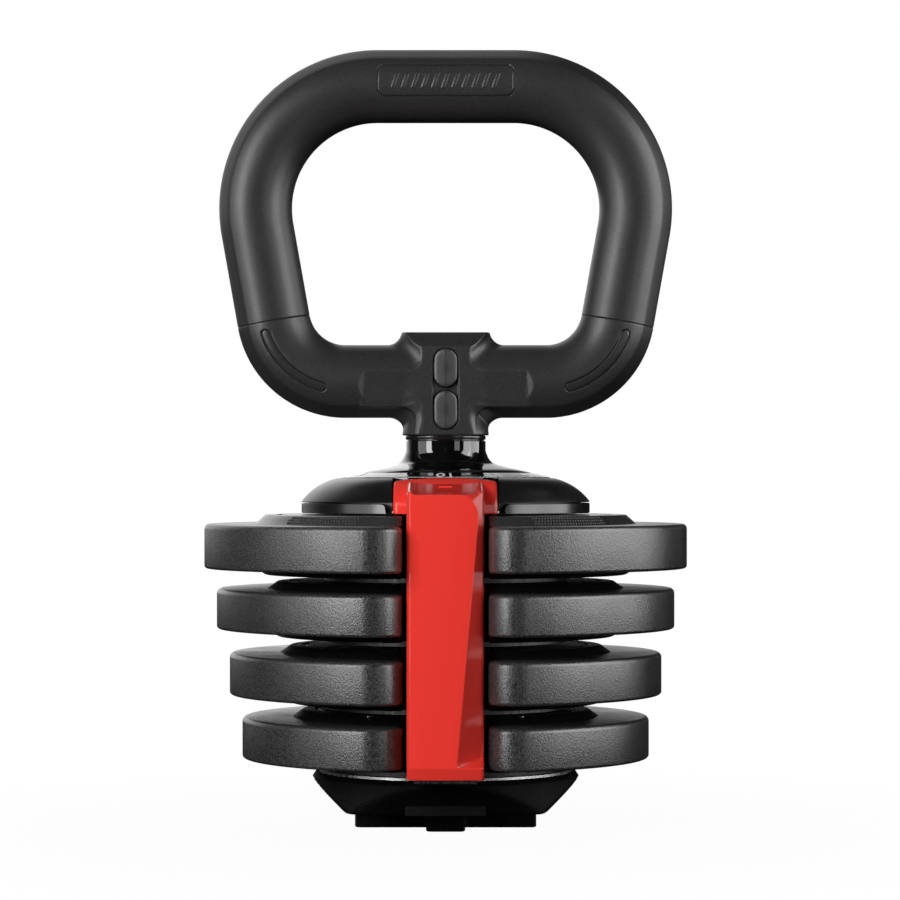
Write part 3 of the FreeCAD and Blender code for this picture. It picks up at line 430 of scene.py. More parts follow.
def make_materials():
    """Every finish of the kettlebell."""
    blue = 0.001
    found = {
        "grip": grained("grip_plastic", grey(0.018, blue), grey(0.034, blue), 0.39, 0.03, 1500, 0.00005),
        "inlay": grained("inlay_plastic", grey(0.018, blue), grey(0.030, blue), 0.30, 0.03, 1300, 0.00003),
        "button": grained("button_plastic", grey(0.028, blue), grey(0.044, blue), 0.34, 0.03, 1300, 0.00003),
        "gloss_black": new_material("gloss_black", grey(0.003), 0.06, Coat_Weight=0.5, Coat_Roughness=0.03),
        "shroud": grained("shroud_plastic", grey(0.005), grey(0.008), 0.30, 0.03, 1800, 0.00001),
        "band": grained(
            "band_satin", grey(0.006), grey(0.010), 0.22, 0.02, 1500, 0.00001, Specular_IOR_Level=0.6
        ),
        "red": new_material("gloss_red", (0.84, 0.044, 0.032), 0.15, Specular_IOR_Level=0.30),
        "plate": grained(
            "powder_coat", grey(0.0), grey(0.064, 0.002), 0.31, 0.04, 1450, 0.00023, Specular_IOR_Level=0.75
        ),
        "hub": grained(
            "hub_plastic", grey(0.004), grey(0.008), 0.46, 0.04, 1600, 0.00004, Specular_IOR_Level=0.25
        ),
        # A lighter copy of the hub plastic, used only on plate 1's top cover: its lighter tone is a painted
        # sheen on the top of the stack, while its lower roughness is a real satin finish.
        "hub_painted_sheen": grained("hub_satin_painted_sheen", grey(0.020), grey(0.045), 0.26, 0.03, 1600, 0.00002),
        "base": grained(
            "base_plastic", grey(0.001), grey(0.009), 0.62, 0.05, 1700, 0.00014, Specular_IOR_Level=0.08
        ),
        # The print finish is real print on the numbers and the inner ring, and a painted highlight on the
        # ring at the dial's rim.
        "print": grained("dial_print_and_painted_rim_highlight", grey(0.70), grey(0.80), 0.50, 0.04, 1500, 0.00001),
        "bush": grained("bush_plastic", (0.60, 0.59, 0.55), (0.70, 0.69, 0.64), 0.42, 0.04, 900, 0.00002),
        "steel": brushed("drawn_steel", (0.52, 0.52, 0.53), 0.32, (1, 1, 0.03)),
        "steel_black": brushed("blackened_steel", (0.045, 0.045, 0.047), 0.40, (1, 1, 0.05)),
    }
    for name in ("gloss_black", "red"):
        wave = add_noise(found[name], 700, 1.0)
        base = found[name].node_tree.nodes["Principled BSDF"].inputs["Roughness"].default_value
        vary_roughness(found[name], remap(found[name], wave, 0.1, 0.9, base * 0.92, base * 1.08))
    return found


FINISH = make_materials()


# ------------------------------------------------------------------ handle: the swept grip


def outward_of(x, z):
    """How far out from the lower centreline a point lies, measured in the handle's plane."""
    beside = length(np.maximum(np.abs(x) - LOW_X, 0), z - CROSSBAR - LOW_BEND) - LOW_BEND
    return np.where(np.abs(x) < LOW_X, CROSSBAR - z, beside)


def grip_path():
    """Stations of the upper centreline from the left seam to the right one: place and outward direction."""
    out_x, out_z = math.cos(LEAN), math.sin(LEAN)
    centre_z = BAR - TOP_BEND
    leg_top = (TOP_X + TOP_BEND * out_x, centre_z + TOP_BEND * out_z)
    stations = []
    for t in (0, 0.008, 0.03, 0.25, 0.5, 0.75):
        place = [low + (top - low) * t for low, top in zip((SEAM_X, SEAM_Z), leg_top)]
        stations.append((*place, out_x, out_z))
    for turn in np.linspace(LEAN, math.pi / 2, 84)[:-1]:
        out_x, out_z = math.cos(turn), math.sin(turn)
        stations.append((TOP_X + TOP_BEND * out_x, centre_z + TOP_BEND * out_z, out_x, out_z))
    for x in np.linspace(TOP_X, 0, 105):
        stations.append((x, BAR, 0.0, 1.0))
    right = np.array(stations)
    left = right[:-1][::-1] * (-1, 1, -1, 1)
    return np.concatenate([right, left])


def half_section(trim=0.0):
    """The front half shell's section as (outward, depth) points, round the outside and the bore."""
    radius = GRIP - trim
    crease = math.degrees(math.acos(CREASE / GRIP))
    tip, end = (CREASE, -math.sqrt(GRIP**2 - CREASE**2)), (GRIP - 0.13, -2.2)
    facet = [[a + (b - a) * t for a, b in zip(tip, end)] for t in (0.03, 0.35, 0.68, 0.97)]
    facet += [(GRIP - 0.06, -1.2), (GRIP - 0.05, -0.35)]
    outer = arc((0, 0), GRIP, 180 + 1.2, 360 - crease - 1.2, 118) + facet
    scale = radius / GRIP
    outer = [(u * scale, v * scale) for u, v in outer]
    section = [(-radius + 0.16, -PARTING)] + outer + [(radius - 0.2, -PARTING), (GRIP_BORE, -PARTING)]
    section += arc((0, 0), GRIP_BORE, 358, 182, 24) + [(-GRIP_BORE, -PARTING)]
    return np.array(section)


BADGE_HALF, BADGE_LOW, BADGE_HIGH, BADGE_CORNER = 30.9, BAR - 6.0, BAR + 8.2, 3.6
BADGE_MIDDLE, BADGE_RISE = (BADGE_LOW + BADGE_HIGH) / 2, (BADGE_HIGH - BADGE_LOW) / 2


def badge_distance(x, arc_height, margin=0.0):
    """Distance from the badge's rounded outline, negative inside it."""
    across = np.abs(x) - BADGE_HALF - margin + BADGE_CORNER
    up = np.abs(arc_height - BADGE_MIDDLE) - BADGE_RISE - margin + BADGE_CORNER
    outside = length(np.maximum(across, 0), np.maximum(up, 0))
    return outside + np.minimum(np.maximum(across, up), 0) - BADGE_CORNER


def make_grip(side, name, node):
    """Half of the grip: front or back shell, the front one with the badge's recess."""
    stations, section = grip_path(), half_section()
    ends = {0: half_section(0.35), len(stations) - 1: half_section(0.35)}
    loops = []
    for index, (x, z, out_x, out_z) in enumerate(stations):
        shape = ends.get(index, section)
        outward, depth = shape[:, 0], shape[:, 1] * (1 if side < 0 else -1)
        loop = np.stack([x + out_x * outward, depth, z + out_z * outward], axis=1)
        if side < 0 and abs(x) < TOP_X + 1:
            sink = 0.75 * (1 - ramp(badge_distance(loop[:, 0], loop[:, 2], 0.35), -0.12, 0.12))
            reach = length(loop[:, 1], loop[:, 2] - BAR)
            sink = np.where(reach > GRIP - 1.5, sink, 0)
            loop[:, 1] += sink * -loop[:, 1] / reach
            loop[:, 2] -= sink * (loop[:, 2] - BAR) / reach
        loops.append(loop if side < 0 else loop[::-1])
    points, faces = loft(loops)
    add_mesh(name, points, [face[::-1] for face in faces], "selector", [node], "grip", 24)


def make_badge():
    """The badge: a plate that follows the bar's roundness, with a row of plain raised ribs on it."""
    low_turn, high_turn = math.asin((BADGE_LOW - BAR) / GRIP), math.asin((BADGE_HIGH - BAR) / GRIP)
    turns = low_turn + (high_turn - low_turn) * (1 - np.cos(np.linspace(0, math.pi, 61))) / 2
    spread = np.sin(np.linspace(-math.pi / 2, math.pi / 2, 241)) * 0.35 + np.linspace(-1, 1, 241) * 0.65
    tops, floors = [], []
    for turn in turns:
        height = BAR + GRIP * math.sin(turn)
        beyond = max(abs(height - BADGE_MIDDLE) - BADGE_RISE + BADGE_CORNER, 0)
        half = BADGE_HALF - BADGE_CORNER + math.sqrt(max(BADGE_CORNER**2 - beyond**2, 0))
        x = half * spread
        edge = -badge_distance(x, np.full_like(x, height))
        rib = ramp(-badge_rib(x, height), -0.15, 0.2) * 0.3
        reach = GRIP - 0.05 - 0.35 * (1 - ramp(edge, 0, 0.5)) + rib
        for rows, distance in ((tops, reach), (floors, np.full_like(x, GRIP - 0.9))):
            rows.append(np.stack([x, -distance * math.cos(turn), BAR + distance * math.sin(turn)], axis=1))
    columns = len(spread)
    top, floor = np.array(tops), np.array(floors)
    points = np.concatenate([top.reshape(-1, 3), floor.reshape(-1, 3)])
    count = len(turns) * columns
    faces = grid_faces(len(turns), columns, wrap_columns=False)
    faces += [face[::-1] for face in grid_faces(len(turns), columns, wrap_columns=False, start=count)]
    rim = list(range(columns))
    rim += [row * columns + columns - 1 for row in range(1, len(turns))]
    rim += [(len(turns) - 1) * columns + column for column in range(columns - 2, -1, -1)]
    rim += [row * columns for row in range(len(turns) - 2, 0, -1)]
    for index, here in enumerate(rim):
        after = rim[(index + 1) % len(rim)]
        faces.append((after, here, here + count, after + count))
    add_mesh("badge", points, faces, "selector", ["badge_plate"], "grip", 40)


def badge_rib(x, height):
    """Distance from the nearest of a row of slanted ribs, negative on a rib."""
    pitch, lean, half_height, half_width = 4.6, 0.35, 2.9, 0.75
    above = height - BADGE_MIDDLE
    slanted = x - above * lean
    nearest = np.clip(np.round(slanted / pitch), -5, 5) * pitch
    return length(slanted - nearest, np.maximum(np.abs(above) - half_height, 0)) - half_width


# ------------------------------------------------------------------ handle: the yoke and its boss


def grip_distance(x, y, z):
    """Distance from the yoke's bar, round with two flats on its outer side."""
    outward = outward_of(x, z)
    run, drop = GRIP - CREASE, math.sqrt(GRIP**2 - CREASE**2) - 2.5
    facet = (drop * (outward - CREASE) + run * (np.abs(y) - drop - 2.5)) / math.hypot(run, drop)
    return round_and(length(outward, y) - GRIP, facet, 0.25)


def pill_distance(x, z, middle, half_width, half_height):
    """Distance from an upright rounded slot shape in the front view."""
    return length(x, np.maximum(np.abs(z - middle) - half_height + half_width, 0)) - half_width


BUTTONS = {"upper": 210.55, "lower": 191.4}
BUTTON_HALF, BUTTON_TALL, BUTTON_GAP = 5.3, 8.8, 0.3


def boss_distance(x, y, z):
    """Distance from the boss: a waisted drum with a bevelled front and back."""
    flare = 1.25 * (1 - ramp(z, BOSS_LOW, BOSS_LOW + 9)) + 1.4 * ramp(z, BOSS_TOP - 13, BOSS_TOP)
    drum = length(x, y) - BOSS_WAIST - flare
    return round_and(round_and(drum, bevel_distance(y, z), 0.4), z - BOSS_TOP, 0.4)


def bevel_distance(y, z):
    """Distance from the sloping faces at the top of the boss, front and back."""
    run, rise = BOSS_FLAT - 8, BOSS_TOP - BOSS_BEVEL
    return (rise * (np.abs(y) - BOSS_FLAT) + run * (z - BOSS_BEVEL)) / math.hypot(run, rise)


def face_distance(x, z):
    """Distance from the cross-shaped front face, whose inner corners are rounder below than above."""
    bend = 4.0 + 5.0 * (1 - ramp(z, CROSSBAR - 3, CROSSBAR + 3))
    bar = np.maximum(np.abs(z - FACE_LEVEL) - FACE_RISE, np.abs(x) - FLAT_HALF)
    return round_or(np.abs(x) - FACE_HALF, bar, bend)


def yoke_distance(x, y, z):
    """Distance from both yoke shells together, before they are parted."""
    bend = 7.5 - 4.5 * ramp(np.abs(y), 2, 15)
    joined = round_or(grip_distance(x, y, z), boss_distance(x, y, z), bend)
    tilt = 0.137 * ramp(np.abs(x), 13, 21) * np.clip(z - CROSSBAR, -12, 6)
    facing = np.abs(y) - BOSS_FLAT - tilt - 0.45 * np.maximum(np.abs(x) - FLAT_HALF, 0)
    shape = round_and(joined, facing, 0.25)
    outline = face_distance(x, z)
    steep = 0.55 + 1.2 * ramp(z, CROSSBAR - 2, CROSSBAR + 4)
    side = (np.abs(y) - BOSS_FLAT + steep * outline) / np.sqrt(1 + steep * steep)
    raised = np.maximum(round_and(np.abs(y) - BOSS_FLAT - tilt, side, 0.15), outline - 2.6)
    raised = np.maximum(round_and(raised, bevel_distance(y, z) + 0.25, 0.3), z - BOSS_TOP + 1.2)
    shape = round_or(shape, raised, 1.1)
    shape = round_and(shape, BOSS_LOW - z, 0.4)
    above = (np.abs(x) - SEAM_X) * math.sin(-LEAN) + (z - SEAM_Z) * math.cos(LEAN) + 0.06
    return round_and(shape, np.where(np.abs(x) > 45, above, -9), 0.35)


INLAY_BEND, INLAY_HALF, INLAY_TURN = 37.7, 1.85, (19, 74)


def inlay_distance(x, z):
    """Distance from the curved strip on the lower corner, in the front view."""
    across, up = np.abs(x) - LOW_X, z - CROSSBAR - LOW_BEND
    turn = np.clip(np.arctan2(-up, across), *np.radians(INLAY_TURN))
    return length(across - INLAY_BEND * np.cos(turn), -up - INLAY_BEND * np.sin(turn)) - INLAY_HALF


def yoke_front(x, y, z):
    """The front shell: parted at the middle plane, with holes for buttons and recesses for inlays."""
    shape = round_and(yoke_distance(x, y, z), y + PARTING, 0.2)
    slot = pill_distance(x, z, sum(BUTTONS.values()) / 2, BUTTON_HALF + 0.45, BUTTON_TALL + 9.6)
    shape = round_and(shape, -np.maximum(slot, y + BOSS_FLAT - 0.9), 0.15)
    for middle in BUTTONS.values():
        hole = pill_distance(x, z, middle, BUTTON_HALF + BUTTON_GAP, BUTTON_TALL + BUTTON_GAP)
        shape = round_and(shape, -np.maximum(hole, y + BOSS_FLAT - 4), 0.15)
    strip = np.maximum(inlay_distance(x, z) - 0.35, y + 5)
    depth = GRIP - 0.85 - length(outward_of(x, z), y)
    return round_and(shape, -np.maximum(strip, depth), 0.15)


def yoke_back(x, y, z):
    """The back shell: parted at the middle plane, with the seats of the four screws."""
    shape = round_and(yoke_distance(x, y, z), PARTING - y, 0.2)
    seat = 12.6
    for across, height in ((52.0, 199.0), (28.0, CROSSBAR)):
        hole = length(np.abs(x) - across, z - height) - 3.3
        shape = round_and(shape, -np.maximum(hole, seat - y), 0.15)
    return shape


def make_yoke():
    """Both yoke shells."""
    reach, cell = LOW_X + LOW_BEND + GRIP + 1.5, 0.5
    top = CROSSBAR + LOW_BEND + 8
    for name, field, near, far in (
        ("yoke_front", yoke_front, -GRIP - 1.5, 1.0),
        ("yoke_back", yoke_back, -1.0, GRIP + 1.5),
    ):
        points, faces = surface_of(field, (-reach, near, BOSS_LOW - 1.2), (reach, far, top), cell)
        add_mesh(name, points, faces.tolist(), "selector", [name.replace("yoke_", "yoke_shell_")], "grip")


def make_inlays():
    """The two curved strips that lie in the yoke's recesses."""
    points, faces = [], []
    bow = [(-1, -1.0), (-1, -0.32), (-0.86, -0.1), (-0.4, 0.0)]
    bow += [(-across, lift) for across, lift in bow[::-1]]
    cap = INLAY_HALF / INLAY_BEND
    rounding = np.linspace(0.12, math.pi / 2, 7)[:-1]
    turns = np.radians(np.linspace(*INLAY_TURN, 70))
    stations = [(turns[0] - cap * math.cos(t), math.sin(t)) for t in rounding]
    stations += [(turn, 1.0) for turn in turns]
    stations += [(turns[-1] + cap * math.cos(t), math.sin(t)) for t in rounding[::-1]]
    for side in (-1, 1):
        loops = []
        for turn, share in stations:
            loop = []
            for across, lift in bow:
                radius = INLAY_BEND + across * INLAY_HALF * share
                outward = radius - LOW_BEND
                depth = math.sqrt((GRIP + lift * 0.8) ** 2 - outward**2)
                x = side * (LOW_X + radius * math.cos(turn))
                loop.append((x, -depth, CROSSBAR + LOW_BEND - radius * math.sin(turn)))
            loops.append(loop[:: -side])
        append_shape(points, faces, loft(loops))
    add_mesh("inlays", points, faces, "selector", ["corner_inlays"], "inlay", 50)


def make_buttons():
    """The two release buttons, upright and rounded, each with a faint ridge down its middle."""
    for name, middle in BUTTONS.items():
        loops = []
        for inset, depth in ((0.0, 1.25), (0.0, -1.5), (0.12, -1.95), (0.4, -2.3), (0.9, -2.5), (1.7, -2.58)):
            loops.append(pill_loop(middle, inset, depth))
        for share in (0.75, 0.5, 0.25):
            loops.append(pill_loop(middle, 1.7, -2.58, share))
        points, faces = loft(loops)
        crown = np.clip(-points[:, 1] - BOSS_FLAT, 0, None) * 0.085
        points[:, 1] += crown * np.abs(points[:, 0])
        body = f"button_{name}"
        add_mesh(f"{body}_cap", points, faces, body, [body], "button", 60)


def pill_loop(middle, inset, depth, share=1.0):
    """One loop round an upright rounded button, at a depth behind or in front of the boss's face."""
    half, tall = BUTTON_HALF - inset, BUTTON_TALL - inset
    shoulder = tall - half
    outline = [(x, z + shoulder) for x, z in arc((0, 0), half, 0, 180, 25)]
    outline += [(x, z - shoulder) for x, z in arc((0, 0), half, 180, 360, 25)]
    return [(x * share, depth - BOSS_FLAT, middle + z * share) for x, z in outline]


# ------------------------------------------------------------------ neck, dial and numbers

CONE = (24.7, 166.4)


def cone_height(radius):
    """The height of the dial's sloping face at a radius."""
    return CONE[1] + (DIAL_EDGE - CONE[1]) * (radius - CONE[0]) / (DIAL - CONE[0])


def make_dial():
    """The neck and dial in one turned piece, with a fine groove inside the numbers."""
    profile = [(DIAL - 1.6, 157.3), (DIAL - 0.15, 158.4), (DIAL, 158.8), (DIAL, DIAL_EDGE - 0.25)]
    profile += [(DIAL - 0.35, DIAL_EDGE + 0.02)]
    for radius in (DIAL - 1.5, 39.9):
        profile.append((radius, cone_height(radius)))
    profile += [(39.7, cone_height(39.7) - 0.12), (39.5, cone_height(39.5) - 0.12), (39.3, cone_height(39.3))]
    profile += [(32, cone_height(32)), (27, cone_height(27)), CONE]
    profile += [(23, 166.85), (21.6, 167.45), (20.6, 168.3), (19.8, 169.35)]
    profile += [(19.3, 170.4), (18.9, 171.4), (18.55, 172.3)]
    profile += [(NECK, 173.2), (NECK, 175.6), (NECK, NECK_TOP - 0.3), (NECK - 0.3, NECK_TOP)]
    profile += [(10.2, NECK_TOP), (10.2, 165), (14, 157.3)]
    points, faces = turned(profile[::-1], 320)
    piece = add_mesh("dial", points, faces, "selector", ["dial_neck"], "gloss_black")
    carve(piece, rod((0, NECK_TOP - 3.9), 1.3, 9, NECK + 2, axis=Y))
    sharpen(piece, 28)
    foot, top = NECK_TOP + 0.1, BOSS_LOW - 0.15
    ring = [(10.1, foot), (NECK - 0.7, foot), (NECK - 0.7, foot + 0.35), (NECK - 0.1, foot + 0.5)]
    ring += [(NECK, foot + 0.7), (NECK, top - 0.35), (NECK - 0.3, top), (10.1, top)]
    points, faces = turned(ring[::-1], 256)
    add_mesh("neck_ring", points, faces, "selector", ["neck_collar"], "band", 35)


def make_numbers():
    """The dial's printed settings and two rings, thin raised print that follows the cone; the light ring at
    the rim is a painted highlight along the dial's edge.
    """
    points, faces = [], []
    line = 43.7                     # radius of the numbers' middle
    for text, degrees in (("4", -60), ("7", -30), ("10", 0), ("12", 30), ("15", 60), ("18", 90)):
        curve = bpy.data.curves.new("number", "FONT")
        curve.body, curve.size, curve.extrude, curve.offset = text, 8.8, 0.07, 0.08
        curve.align_x, curve.resolution_u = "CENTER", 6
        writing = bpy.data.objects.new("number", curve)
        bpy.context.scene.collection.objects.link(writing)
        mesh = writing.to_mesh(depsgraph=bpy.context.evaluated_depsgraph_get())
        flat = np.array([vertex.co[:] for vertex in mesh.vertices])
        middle = (flat[:, 1].max() + flat[:, 1].min()) / 2
        radius = line + (flat[:, 1] - middle)
        angle = math.radians(degrees - 90) - flat[:, 0] / line
        height = cone_height(radius) + 0.02 + flat[:, 2]
        places = np.stack([radius * np.cos(angle), radius * np.sin(angle), height], axis=1)
        append_shape(points, faces, (places, [polygon.vertices for polygon in mesh.polygons]))
        writing.to_mesh_clear()
        bpy.data.objects.remove(writing)
        bpy.data.curves.remove(curve)
    # The inner ring is print in its groove; the light ring just inside the rim is a painted highlight along
    # the dial's edge.
    for inner, outer in ((39.32, 39.68), (DIAL - 0.9, DIAL - 0.5)):
        sink = 0.11 if inner < 40 else -0.02
        ring = [(inner, cone_height(inner) - sink - 0.08), (outer, cone_height(outer) - sink - 0.08)]
        ring += [(outer, cone_height(outer) - sink), (inner, cone_height(inner) - sink)]
        append_shape(points, faces, turned(ring, 320))
    add_mesh("dial_numbers", points, faces, "selector", [], "gloss_black", finish="print", smooth=False)


# ------------------------------------------------------------------ shroud and band


def opened(profile, half):
    """A ring turned from a closed profile and left open at the front between two upright planes."""
    loops = []
    for share in np.linspace(0, 1, 260):
        loop = []
        for entry in profile:
            radius, height = entry[:2]
            gap = math.asin(min((half + (entry[2] if len(entry) > 2 else 0)) / radius, 1))
            angle = -math.pi / 2 + gap + share * 2 * (math.pi - gap)
            loop.append((radius * math.cos(angle), radius * math.sin(angle), height))
        loops.append(loop)
    return loft(loops)


DOME_BEND = 28.05
DOME_FOOT = np.array([SHROUD, SHOULDER])
DOME_TOP = np.array([DIAL + 0.6, DIAL_EDGE - 0.2])


def dome_centre():
    """The centre of the dome's rounded outside, in its (radius, height) section."""
    chord = DOME_TOP - DOME_FOOT
    side = np.array([-chord[1], chord[0]]) / np.linalg.norm(chord)
    return (DOME_FOOT + DOME_TOP) / 2 + side * math.sqrt(DOME_BEND**2 - np.dot(chord, chord) / 4)


def dome_arc(count):
    """The dome's rounded outside from the shoulder up to the dial's edge."""
    centre = dome_centre()
    first = math.degrees(math.atan2(*(DOME_FOOT - centre)[::-1]))
    last = math.degrees(math.atan2(*(DOME_TOP - centre)[::-1]))
    return arc(centre, DOME_BEND, first, last, count)


def make_shroud():
    """The dome round the dial and the satin band below it, both open at the front for the column."""
    half = WING + 0.4
    hole = DIAL + 0.6
    profile = [(SHROUD - 0.25, SHOULDER - 0.35), (SHROUD - 0.02, SHOULDER - 0.1)] + dome_arc(26)[:-1]
    profile += [(DIAL + 0.75, DIAL_EDGE - 0.35), (hole, DIAL_EDGE - 0.6), (hole, 156), (hole, 153.2)]
    profile += [(57, 153.2), (59.8, 149.6), (59.8, BAND_LOW), (62.2, BAND_LOW), (62.2, SHOULDER - 0.35)]
    points, faces = opened(profile, half)
    add_mesh("dome", points, faces, "core", ["top_shroud"], "shroud", 30)
    top = SHOULDER - 0.75
    rise = np.linspace(0, math.pi / 2, 7)
    profile = [(SHROUD - 0.3, BAND_LOW), (SHROUD, BAND_LOW + 0.3)]
    profile += [(SHROUD, top - 2.6 + 2.3 * math.sin(t), 2.3 * (1 - math.cos(t))) for t in rise]
    profile += [(SHROUD - 0.3, top, 2.4), (62.4, top, 2.4)]
    profile += [(62.4, top - 2.6 + 2.3 * math.sin(t), 2.3 * (1 - math.cos(t))) for t in rise[::-1]]
    profile += [(62.4, BAND_LOW)]
    points, faces = opened(profile, WING + 3.1)
    add_mesh("band", points, faces, "core", ["shroud_band"], "band", 30)


# ------------------------------------------------------------------ the red column


def scoop(y):
    """How far back a place is on the column's head, from 0 to 1, and the height of the scoop there."""
    back = np.clip((COLUMN_FRONT + y) / (COLUMN_FRONT - COLUMN_BACK), 0, 1)
    return back, COLUMN_TOP + SCOOP_RISE * back**1.35


def column_distance(x, y, z):
    """Distance from the column: a faceted panel with a scooped head, and two wings beside it."""
    # The right facet: beyond a leaning edge whose upper end bends over, down to the foot.
    beyond = 0.9963 * (x - 14.4) - 0.0864 * (z - 143.6)
    face = round_and(beyond, z - COLUMN_TOP - 0.2, 10.5)
    depth = 1.05 * np.clip(-round_and(-face, 3.0 * (COLUMN_FOOT - z), 1.5), 0, 10.2)
    depth = depth + np.maximum(-x - COLUMN_HALF + 1.5, 0) + 0.0035 * x * x
    depth = depth + 0.42 * np.maximum(COLUMN_FOOT - z, 0)
    front = -y - COLUMN_FRONT + depth
    back, crest = scoop(y)
    head = z - crest - 1.2 * ramp(np.abs(x), 13.6, 14.6) * (1 - back)
    panel = round_and(front / 1.35, head, 0.45)
    panel = round_and(panel, np.abs(x) - COLUMN_HALF, 1.3)
    step = BAND_LOW + 0.1
    rear = np.where(z > step, y + COLUMN_BACK, y + 60)
    panel = round_and(round_and(panel, rear, 0.2), COLUMN_LOW - z, 0.4)
    room = np.maximum(np.maximum(np.abs(x) - COLUMN_HALF + 2.4, -y - COLUMN_FRONT + 12.5), z - step + 2.5)
    panel = np.maximum(panel, -np.maximum(room, COLUMN_LOW + 2.6 - z))
    return np.minimum(panel, wing_distance(x, y, z, step))


def wing_distance(x, y, z, step):
    """Distance from the wings, which carry the dome's curve across to the panel."""
    middle, reach = dome_centre(), length(x, y)
    curve = length(reach - middle[0], z - middle[1]) - DOME_BEND - 0.25
    shape = round_and(curve, reach - SHROUD - 0.6, 0.8)
    shape = round_and(shape, np.abs(x) - WING, 1.8)
    return round_and(round_and(shape, y + COLUMN_BACK, 0.2), step - z, 0.4)


def make_column():
    """The red column cover and the small mark that points at the dial."""
    lowest, highest = (-WING - 1, -COLUMN_FRONT - 1, COLUMN_LOW - 1), (WING + 1, -DIAL, DIAL_EDGE + 0.6)
    points, faces = surface_of(column_distance, lowest, highest, 0.45)
    add_mesh("column", points, faces.tolist(), "core", ["column_cover"], "red")
    outline = rounded([(-3.3, -65.2), (3.3, -65.2), (2.2, -61.2), (-2.2, -61.2)], 0.6)
    loops = []
    for inset, lift in ((0, -1.2), (0, 0.25), (0.15, 0.45), (0.4, 0.5)):
        loop = []
        for x, y in outline:
            height = scoop(y)[1] + lift
            y = y + inset * (-1 if y > -63.2 else 1)
            loop.append((x * (1 - inset / 3.3), y, height))
        loops.append(loop)
    points, faces = loft(loops)
    add_mesh("pointer", points, faces, "core", ["column_pointer"], "red", 40)


# ------------------------------------------------------------------ plates


LOW_EDGE, HIGH_EDGE = 1.4, 2.3       # the roundings of a plate's two edges


def plate_outline(radius, inset=0.0, slot=SLOT, mouth=MOUTH):
    """A slotted disc's outline, anticlockwise from the left mouth corner, moved in by an inset."""
    across = slot + mouth
    down = math.sqrt((radius - mouth) ** 2 - across**2)
    start = math.degrees(math.atan2(-down, across))
    outline = [(across + x, y - down) for x, y in arc((0, 0), mouth - inset, 180, 360 + start, 26)]
    outline += arc((0, 0), radius - inset, start, 180 - start, 220)[1:-1]
    outline += [(x - across, y - down) for x, y in arc((0, 0), mouth - inset, 180 - start, 360, 26)]
    outline += [(-slot - inset, y) for y in np.linspace(-down, 0, 8)[1:-1]]
    outline += arc((0, 0), slot + inset, 180, 0, 40)
    outline += [(slot + inset, y) for y in np.linspace(0, -down, 8)[1:-1]]
    return outline


def stack_loops(rows):
    """Loops from (outline, height) rows."""
    return [[(x, y, height) for x, y in outline] for outline, height in rows]


def make_plate(number, body):
    """A cast plate with rounded edges, and the stepped plastic covers on its two faces."""
    radius = high(f"plate_{number}_casting", X)
    bottom, top = low(f"plate_{number}_casting", Z), high(f"plate_{number}_casting", Z)
    rows = []
    for turn in np.linspace(0, math.pi / 2, 7):
        inset = LOW_EDGE * (1 - math.sin(turn))
        rows.append((plate_outline(radius, inset), bottom + LOW_EDGE * (1 - math.cos(turn))))
    for turn in np.linspace(0, math.pi / 2, 9):
        inset = HIGH_EDGE * (1 - math.cos(turn))
        rows.append((plate_outline(radius, inset), top - HIGH_EDGE * (1 - math.sin(turn))))
    points, faces = loft(stack_loops(rows))
    add_mesh(f"plate_{number}", points, faces, body, [f"plate_{number}_casting"], "plate", 35)
    make_hub(number, body, "top", radius, top, high(f"plate_{number}_top_cover", Z) - top)
    make_hub(number, body, "low", radius, bottom, low(f"plate_{number}_low_cover", Z) + 1.2 - bottom)


def make_hub(number, body, kind, radius, base, rise):
    """A hub cover: a sloping skirt, a narrow step and a flat field round the slot."""
    outer, inner, mouth = radius - 23.3, radius - 27.9, 4.0
    inward = 0.35 * (1 if rise > 0 else -1)
    step, face = inner - 5.0, base + rise
    rings = [(outer, 0.2, base + inward * 0.2)]
    rings += [(outer + (inner - outer) * share, 0.2, base + rise * share) for share in (0.04, 0.5, 0.93)]
    rings += [(inner - 0.2, 0.3, base + rise * 0.99), (inner - 0.8, 0.6, face), (step, 1.0, face)]
    rings += [(step - 0.3, 1.3, face - inward * 1.4), (step - 2.2, 2.2, face - inward * 1.4)]
    rings += [(step - 2.5, 2.5, face)]
    loops = stack_loops(
        [(plate_outline(reach, 0, SLOT + wider, mouth), height) for reach, wider, height in rings]
    )
    points, faces = loft(loops if rise > 0 else loops[::-1])
    if number == 1 and rise > 0:
        points = points.tolist()
        append_shape(points, faces, domes(grip_dots(outer, inner, base, rise), 0.62, 0.45))
    node = f"plate_{number}_{kind}_cover"
    # Plate 1's top cover takes the lighter copy of the hub plastic, a painted sheen on the top of the stack.
    finish = "hub_painted_sheen" if number == 1 and rise > 0 else "hub"
    add_mesh(f"hub_{kind}_{number}", points, faces, body, [node], "hub", 25, finish)
    if number == 4 and rise > 0:
        turn = math.radians(31)
        across, ahead = inner * math.sin(turn), -inner * math.cos(turn)
        pins = [((side * across, ahead, face), (0, 0, 1)) for side in (-1, 1)]
        add_mesh("hub_pins_4", *domes(pins, 1.2, 0.9), body, [], "steel")


def grip_dots(outer, inner, base, rise):
    """Places and directions of the small raised dots on a hub cover's skirt, in two bands at the front."""
    places, slope = [], math.hypot(outer - inner, rise)
    for row, share in enumerate((0.22, 0.5, 0.78)):
        radius = outer + (inner - outer) * share
        for step in range(27):
            turn = math.radians(27 + (step + (row % 2) * 0.5) * 1.05)
            for side in (-1, 1):
                across, ahead = side * math.sin(turn), -math.cos(turn)
                lean = (rise / slope, (outer - inner) / slope)
                place = (radius * across, radius * ahead, base + rise * share)
                places.append((place, (lean[0] * across, lean[0] * ahead, lean[1])))
    return places


# ------------------------------------------------------------------ base


